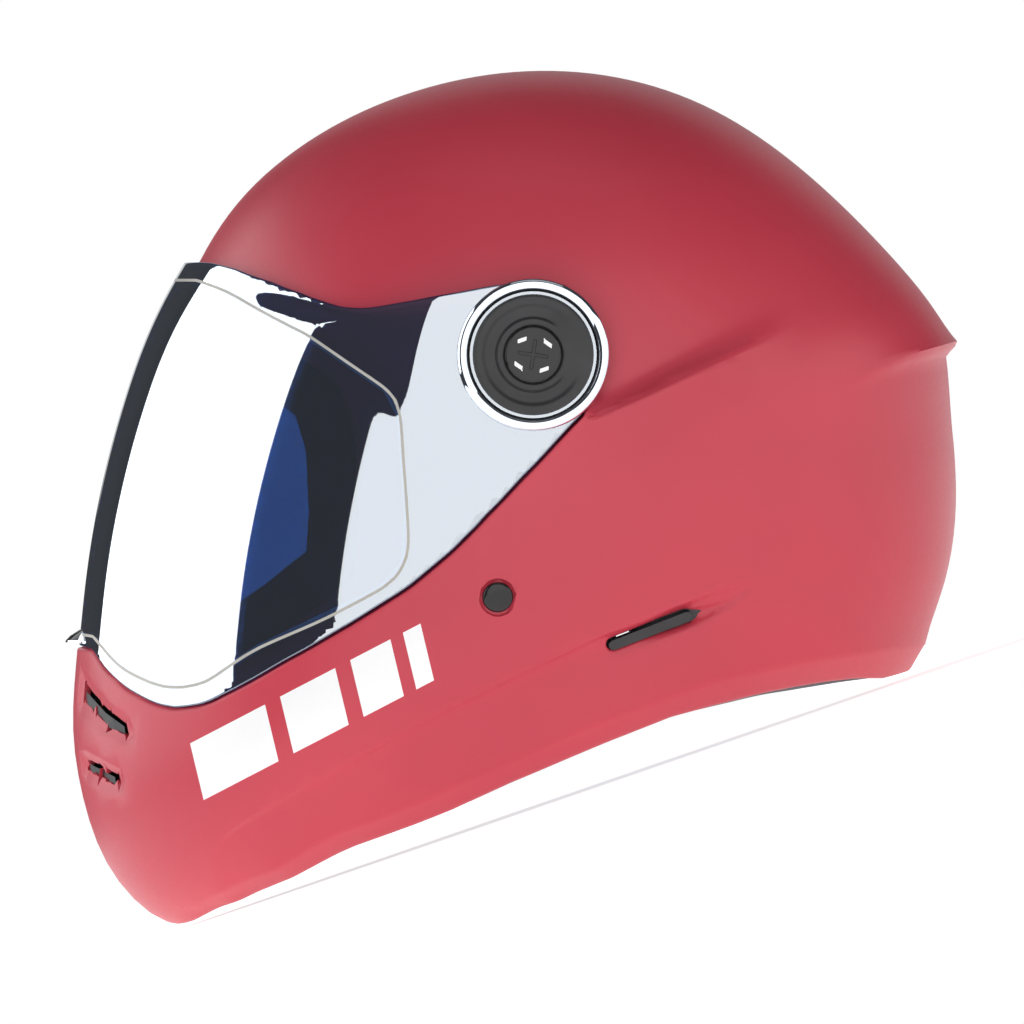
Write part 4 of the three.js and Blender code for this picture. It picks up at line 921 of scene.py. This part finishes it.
def build_pivots():
    for which, side in (("left", -1), ("right", 1)):
        prof = [(22.4, 122.6), (26.3, 122.6), (26.95, 123.2), (26.95, 125.9)] + arc_pts(25.0, 126.4, 1.95, 0, 100, 9) + [(23.6, 127.95), (22.9, 127.2), (22.4, 126.2)]
        p, f = lathe(prof, side, 128)
        piece(f"visor_rim_{which}", p, f, [M_CHROME], None, 40, body="visor")
        # knurl-free satin cap with a crescent channel open towards the rear
        ca = [(4.6, 124.3), (21.0, 124.3), (21.4, 124.7), (21.4, 127.9)] + arc_pts(20.0, 127.8, 1.4, 0, 90, 6)
        ca += [(r, 129.2) for r in np.arange(19.5, 10.8, -0.5)] + [(10.6, 129.0), (10.45, 128.7), (10.45, 126.3), (4.6, 126.3)]
        p, f = lathe(ca, side, 128)
        r, a = np.hypot(p[:, 0], p[:, 2]), np.degrees(np.arctan2(p[:, 2], p[:, 0]))
        top = np.abs(p[:, 1]) > 129.15
        ang = np.abs(((a - 190) + 180) % 360 - 180)
        open_ = 1 - smooth(118, 152, ang)
        prof_ = smooth(12.6, 13.4, r) * (1 - smooth(16.6, 18.6, r))
        p[:, 1] -= side * top * 1.15 * open_ * prof_
        piece(f"pivot_cover_{which}", p, f, [M_BLACK], None, 30, replaces=(f"pivot_cap_{which}",))
        # knob with a cross slot and four printed marks
        seg, rs = 96, np.concatenate([[0.0], np.arange(0.5, 9.3, 0.5), [9.4, 9.7, 9.9, 10.0]])
        q = np.concatenate([[[0, 0]]] + [np.stack([rr * np.cos(2 * np.pi * np.arange(seg) / seg), rr * np.sin(2 * np.pi * np.arange(seg) / seg)], 1) for rr in rs[1:]])
        t = [[0, 1 + j, 1 + (j + 1) % seg] for j in range(seg)]
        for i in range(1, len(rs) - 1):
            for j in range(seg):
                a_, b_ = 1 + (i - 1) * seg + j, 1 + (i - 1) * seg + (j + 1) % seg
                t += [[a_, a_ + seg, b_], [b_, a_ + seg, b_ + seg]]
        sh = Sheet(q, t, lambda q_: np.stack([q_[:, 0], np.zeros(len(q_)), q_[:, 1]], 1))
        ca_, sa_ = math.cos(math.radians(8)), math.sin(math.radians(8))
        rx = lambda p_: p_[:, 0] * ca_ - p_[:, 2] * sa_
        rz = lambda p_: p_[:, 0] * sa_ + p_[:, 2] * ca_
        cross = lambda p_: np.minimum(np.maximum(np.abs(rx(p_)) - 5.4, np.abs(rz(p_)) - 0.7), np.maximum(np.abs(rz(p_)) - 5.4, np.abs(rx(p_)) - 0.7))
        marks = lambda p_: np.maximum(np.abs(np.abs(rx(p_)) - 4.6) - 1.5, np.abs(np.abs(rz(p_)) - 4.6 + 0.5 * (np.abs(rx(p_)) - 4.6)) - 0.75)
        sh.cut(cross, 0.02); sh.cut(lambda p_: cross(p_) + 0.18, 0.02)
        sh.cut(marks, 0.02)
        c = sh.centres()
        mk = marks(c) < 0
        pp = sh.p
        rr = np.hypot(pp[:, 0], pp[:, 2])
        h = 130.1 - edge_round(np.maximum(10.0 - rr, 0), 0.7) - 1.1 * (1 - smooth(-0.18, 0, cross(pp))) + 0.12 * (1 - (rr / 10) ** 2) - 0.12
        outer, inner = pp.copy(), pp.copy()
        outer[:, 1], inner[:, 1] = side * h, side * 126.6
        pts, tri, kinds = closed(sh, outer, inner)
        kinds = np.zeros(len(tri), int)
        kinds[:len(sh.t)][mk] = 1
        piece(f"pivot_knob_{which}", pts, tri, [M_GLOSS, M_WHITE], kinds, 35, body=f"{which}_pivot_screw", replaces=(f"pivot_screw_{which}",))


# ---------------------------------------------------------------- strap rivets and lift tab
def build_small():
    for which, side in (("left", -1), ("right", 1)):
        prof = [(0, 1.25)] + [(5.3 * math.sin(a), 1.25 - 1.5 * (1 - math.cos(a))) for a in np.linspace(0.15, 1.35, 9)] + [(5.45, -0.7), (5.3, -1.0), (2.6, -1.0), (2.6, -9.7), (4.6, -9.9), (4.6, -10.7), (0, -10.7)]
        pr = np.array(prof)
        seg = 64
        a = 2 * np.pi * np.arange(seg) / seg
        nrm = RIVET_N * np.array([1, side, 1])
        e1 = np.cross(nrm, [1, 0, 0]); e1 /= np.linalg.norm(e1)
        e2 = np.cross(nrm, e1)
        o = np.array([RIVET[0], side * RIVET_Y, RIVET[1]])
        pts = (o + pr[:, 1][:, None, None] * nrm + pr[:, 0][:, None, None] * (np.cos(a)[None, :, None] * e1 + np.sin(a)[None, :, None] * e2)).reshape(-1, 3)
        faces = [[i * seg + j, i * seg + (j + 1) % seg, (i + 1) * seg + (j + 1) % seg, (i + 1) * seg + j] for i in range(len(pr) - 1) for j in range(seg)]
        piece(f"rivet_{which}", pts, faces, [M_GLOSS], None, 35, replaces=(f"strap_rivet_{which}",))
    # lift tab: a thin curved lip with a dark upper face
    ys = np.linspace(-14, 14, 41)
    sec = np.array([[-158.2, -96.6], [-161.4, -97.4], [-164.8, -99.6], [-166.3, -101.2], [-166.4, -101.9], [-165.6, -102.25], [-162.0, -101.2], [-158.2, -100.9]])
    pts = []
    for y in ys:
        k = 1 - (abs(y) / 14) ** 4 * 0.55
        pts += [[-158.2 + (x + 158.2) * k, y, z] for x, z in sec]
    n = len(sec)
    faces = [[i * n + j, i * n + (j + 1) % n, (i + 1) * n + (j + 1) % n, (i + 1) * n + j] for i in range(len(ys) - 1) for j in range(n)]
    faces += [list(range(n)), list(range((len(ys) - 1) * n, len(ys) * n))]
    kinds = [0 if j < 3 else 1 for i in range(len(ys) - 1) for j in range(n)] + [1, 1]
    piece("lift_tab", pts, faces, [M_GLOSS, M_CHROME], kinds, 25, body="visor")


build_visor()
build_pivots()
build_small()


# ---------------------------------------------------------------- padding, foam and straps
def knit(name, dark, light, scale):
    """Brushed knit: two crossed ribs with loose fibre noise and a soft sheen."""
    mt, nt, b = nodes_of(name)
    v = coords(nt, (scale, scale, scale))
    w1 = add(nt, "ShaderNodeTexWave", Scale=1.0, Distortion=1.2)
    w1.bands_direction = "DIAGONAL"
    w2 = add(nt, "ShaderNodeTexWave", Scale=1.0, Distortion=1.2)
    w2.bands_direction = "Z"
    f = add(nt, "ShaderNodeTexNoise", Scale=3.0, Detail=5.0)
    for n_ in (w1, w2, f):
        nt.links.new(v, n_.inputs["Vector"])
    mu = add(nt, "ShaderNodeMath", operation="MULTIPLY")
    nt.links.new(w1.outputs["Fac"], mu.inputs[0]); nt.links.new(w2.outputs["Fac"], mu.inputs[1])
    ad = add(nt, "ShaderNodeMath", operation="ADD")
    nt.links.new(mu.outputs[0], ad.inputs[0]); nt.links.new(f.outputs[0], ad.inputs[1])
    nt.links.new(mix_color(nt, map_range(nt, ad.outputs[0], 0.3, 1.4, 0, 1), dark, light), b.inputs["Base Color"])
    bump = add(nt, "ShaderNodeBump", Strength=0.6, Distance=0.0004)
    nt.links.new(ad.outputs[0], bump.inputs["Height"])
    nt.links.new(bump.outputs[0], b.inputs["Normal"])
    nt.links.new(map_range(nt, f.outputs[0], 0.3, 0.7, 0.85, 0.98), b.inputs["Roughness"])
    b.inputs["Sheen Weight"].default_value = 0.25
    b.inputs["Sheen Roughness"].default_value = 0.5
    return mt


def beads():
    """Expanded foam: packed beads with darker joints."""
    mt, nt, b = nodes_of("expanded_foam")
    v = coords(nt)
    vo = add(nt, "ShaderNodeTexVoronoi", Scale=330.0)
    nt.links.new(v, vo.inputs["Vector"])
    nt.links.new(mix_color(nt, map_range(nt, vo.outputs["Distance"], 0.1, 0.7, 0, 1), (0.045, 0.045, 0.048), (0.018, 0.018, 0.020)), b.inputs["Base Color"])
    bump = add(nt, "ShaderNodeBump", Strength=0.5, Distance=0.0005)
    bump.invert = True
    nt.links.new(vo.outputs["Distance"], bump.inputs["Height"])
    nt.links.new(bump.outputs[0], b.inputs["Normal"])
    nt.links.new(map_range(nt, vo.outputs["Distance"], 0, 0.8, 0.7, 0.9), b.inputs["Roughness"])
    return mt


M_FOAM = beads()
M_COMFORT = knit("brushed_comfort_knit", (0.016, 0.016, 0.019), (0.050, 0.050, 0.056), 700)
M_CHEEK = knit("cheek_pad_knit", (0.022, 0.023, 0.027), (0.062, 0.064, 0.072), 560)
M_WEB = knit("strap_webbing", (0.010, 0.010, 0.012), (0.034, 0.034, 0.038), 900)


def puff(node, mat, cap, voxel):
    """A sewn pad: the solid's form remeshed, swelled by cloth pressure, capped and subdivided."""
    src = frame["nodes"][node]
    me = src.data.copy()
    ob = bpy.data.objects.new(node + "_cover", me)
    bpy.context.scene.collection.objects.link(ob)
    me.materials.clear()
    me.materials.append(mat)
    bpy.context.view_layer.objects.active = ob
    for o in bpy.context.selected_objects:
        o.select_set(False)
    ob.select_set(True)
    r = ob.modifiers.new("r", "REMESH")
    r.mode, r.voxel_size = "VOXEL", voxel
    bpy.ops.object.modifier_apply(modifier="r")
    me = ob.data
    rest = np.zeros(len(me.vertices) * 3)
    me.vertices.foreach_get("co", rest)
    rest = rest.reshape(-1, 3)
    nrm = np.array([v.normal for v in me.vertices])
    start = rest - nrm * cap * 0.45
    me.vertices.foreach_set("co", start.ravel())
    c = ob.modifiers.new("c", "CLOTH")
    c.settings.use_pressure = True
    c.settings.uniform_pressure_force = 4.0
    c.settings.effector_weights.gravity = 0.0
    c.point_cache.frame_start, c.point_cache.frame_end = 1, 16
    for f in range(1, 17):
        bpy.context.scene.frame_set(f)
    bpy.ops.object.modifier_apply(modifier="c")
    bpy.context.scene.frame_set(1)
    me = ob.data
    now = np.zeros(len(me.vertices) * 3)
    me.vertices.foreach_get("co", now)
    now = now.reshape(-1, 3)
    mv = now - rest
    l = np.linalg.norm(mv, axis=1, keepdims=True)
    now = rest + mv * np.minimum(1, cap * 0.5 / np.maximum(l, 1e-9))
    me.vertices.foreach_set("co", now.ravel())
    s = ob.modifiers.new("s", "SUBSURF")
    s.levels = s.render_levels = 1
    bpy.ops.object.modifier_apply(modifier="s")
    for m_ in list(ob.data.materials):
        pass
    ob.data.materials.clear()
    ob.data.materials.append(mat)
    ob.data.shade_smooth()
    for k in list(ob.keys()):
        if k.startswith("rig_"):
            del ob[k]
    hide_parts(node)
    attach(ob, "helmet")
    return ob


puff("crown_comfort_pad", M_COMFORT, 0.003, 0.0045)
puff("cheek_pad_left", M_CHEEK, 0.004, 0.0045)
puff("cheek_pad_right", M_CHEEK, 0.004, 0.0045)
puff("neck_roll", M_CHEEK, 0.002, 0.004)

# ---------------------------------------------------------------- finishes on the carried-over pieces
FINISH = {
    "eyeport_gasket": M_RUBBER, "breath_deflector": M_RUBBER, "friction_washer": M_RUBBER,
    "antifog_seal": M_SEAL, "visor_base": M_BLACK, "base_screw": M_ZINC, "pivot_nut": M_ZINC, "strap_snap": M_ZINC,
    "eps_crown_liner": M_FOAM, "eps_chin_bar": M_FOAM, "exhaust_grille": M_BLACK, "chin_vent": M_BLACK,
    "anchor_plate": M_STEEL, "d_ring": M_STEEL, "strap_left": M_WEB, "strap_right": M_WEB,
}
for name, ob in frame["nodes"].items():
    for key, mat in FINISH.items():
        if name.startswith(key) and not ob.hide_render:
            ob.data.materials.clear()
            ob.data.materials.append(mat)
            for s_ in ob.material_slots:
                s_.material = mat


# ---------------------------------------------------------------- studio
def softbox(name, centre, normal, w, h, radiance, tint=(1, 1, 1)):
    """Area light; places are in the camera-upright frame, in metres from the pivot."""
    l = bpy.data.lights.new(name, "AREA")
    l.shape = "RECTANGLE"
    l.size, l.size_y = w, h
    l.energy = radiance * math.pi * w * h
    l.color = tint
    o = bpy.data.objects.new(name, l)
    bpy.context.scene.collection.objects.link(o)
    nrm = Vector(normal).normalized()
    upv = Vector((0, 0, 1)) if abs(nrm.z) < 0.9 else Vector((0, 1, 0))
    xx = upv.cross(-nrm).normalized()
    yy = (-nrm).cross(xx).normalized()
    mm = Matrix((xx, yy, -nrm)).transposed().to_4x4()
    mm.translation = Vector(centre)
    tilt = Matrix.Rotation(TILT, 4, "Y")
    base = Matrix.Translation(Vector((PX, 0, PZ)) * 0.001)
    o.matrix_world = base @ tilt @ mm
    o.visible_camera = False
    return o


def world():
    w = bpy.data.worlds.new("studio")
    bpy.context.scene.world = w
    w.use_nodes = True
    nt = w.node_tree
    nt.nodes.clear()
    out = nt.nodes.new("ShaderNodeOutputWorld")
    lp = nt.nodes.new("ShaderNodeLightPath")
    a = nt.nodes.new("ShaderNodeBackground")
    a.inputs[0].default_value = (0.045, 0.047, 0.052, 1)
    b = nt.nodes.new("ShaderNodeBackground")
    b.inputs[0].default_value = (1, 1, 1, 1)
    mx = nt.nodes.new("ShaderNodeMixShader")
    nt.links.new(lp.outputs["Is Camera Ray"], mx.inputs[0])
    nt.links.new(a.outputs[0], mx.inputs[1])
    nt.links.new(b.outputs[0], mx.inputs[2])
    nt.links.new(mx.outputs[0], out.inputs[0])


world()
# broad front-side box, front box, rear box, low top box and a far-side fill
softbox("box_side", (0.40, -3.0, 0.7), (0, 1, -0.05), 4.4, 4.4, 1.45)
softbox("box_front", (-3.1, 0.72, 0.75), (1, -0.15, -0.1), 5.0, 3.2, 2.1, (0.97, 0.99, 1.0))
softbox("box_rear", (3.0, -0.9, 0.2), (-1, 0.3, 0.0), 3.2, 3.2, 1.6)
softbox("box_top", (0.2, -0.6, 3.2), (0, 0.1, -1), 2.4, 2.0, 0.35)
softbox("box_far", (0.6, 3.2, 1.2), (0, -1, -0.25), 2.6, 2.4, 0.55)

floor_me = bpy.data.meshes.new("floor")
r_ = 1.6
ring = [(r_ * math.cos(a), r_ * math.sin(a), 0.0) for a in np.linspace(0, 2 * math.pi, 96, endpoint=False)]
floor_me.from_pydata(ring, [], [list(range(96))])
floor = bpy.data.objects.new("floor", floor_me)
bpy.context.scene.collection.objects.link(floor)
mt, nt, b = nodes_of("pale_floor")
v_ = coords(nt)
nn = add(nt, "ShaderNodeTexNoise", Scale=3.0)
nt.links.new(v_, nn.inputs["Vector"])
nt.links.new(mix_color(nt, nn.outputs[0], (0.90, 0.90, 0.90), (0.93, 0.93, 0.93)), b.inputs["Base Color"])
b.inputs["Roughness"].default_value = 0.9
b.inputs["Emission Color"].default_value = (1, 1, 1, 1)
b.inputs["Emission Strength"].default_value = 0.7
floor_me.materials.append(mt)

bpy.context.scene.view_settings.view_transform = "Standard"
bpy.context.scene.view_settings.look = "None"
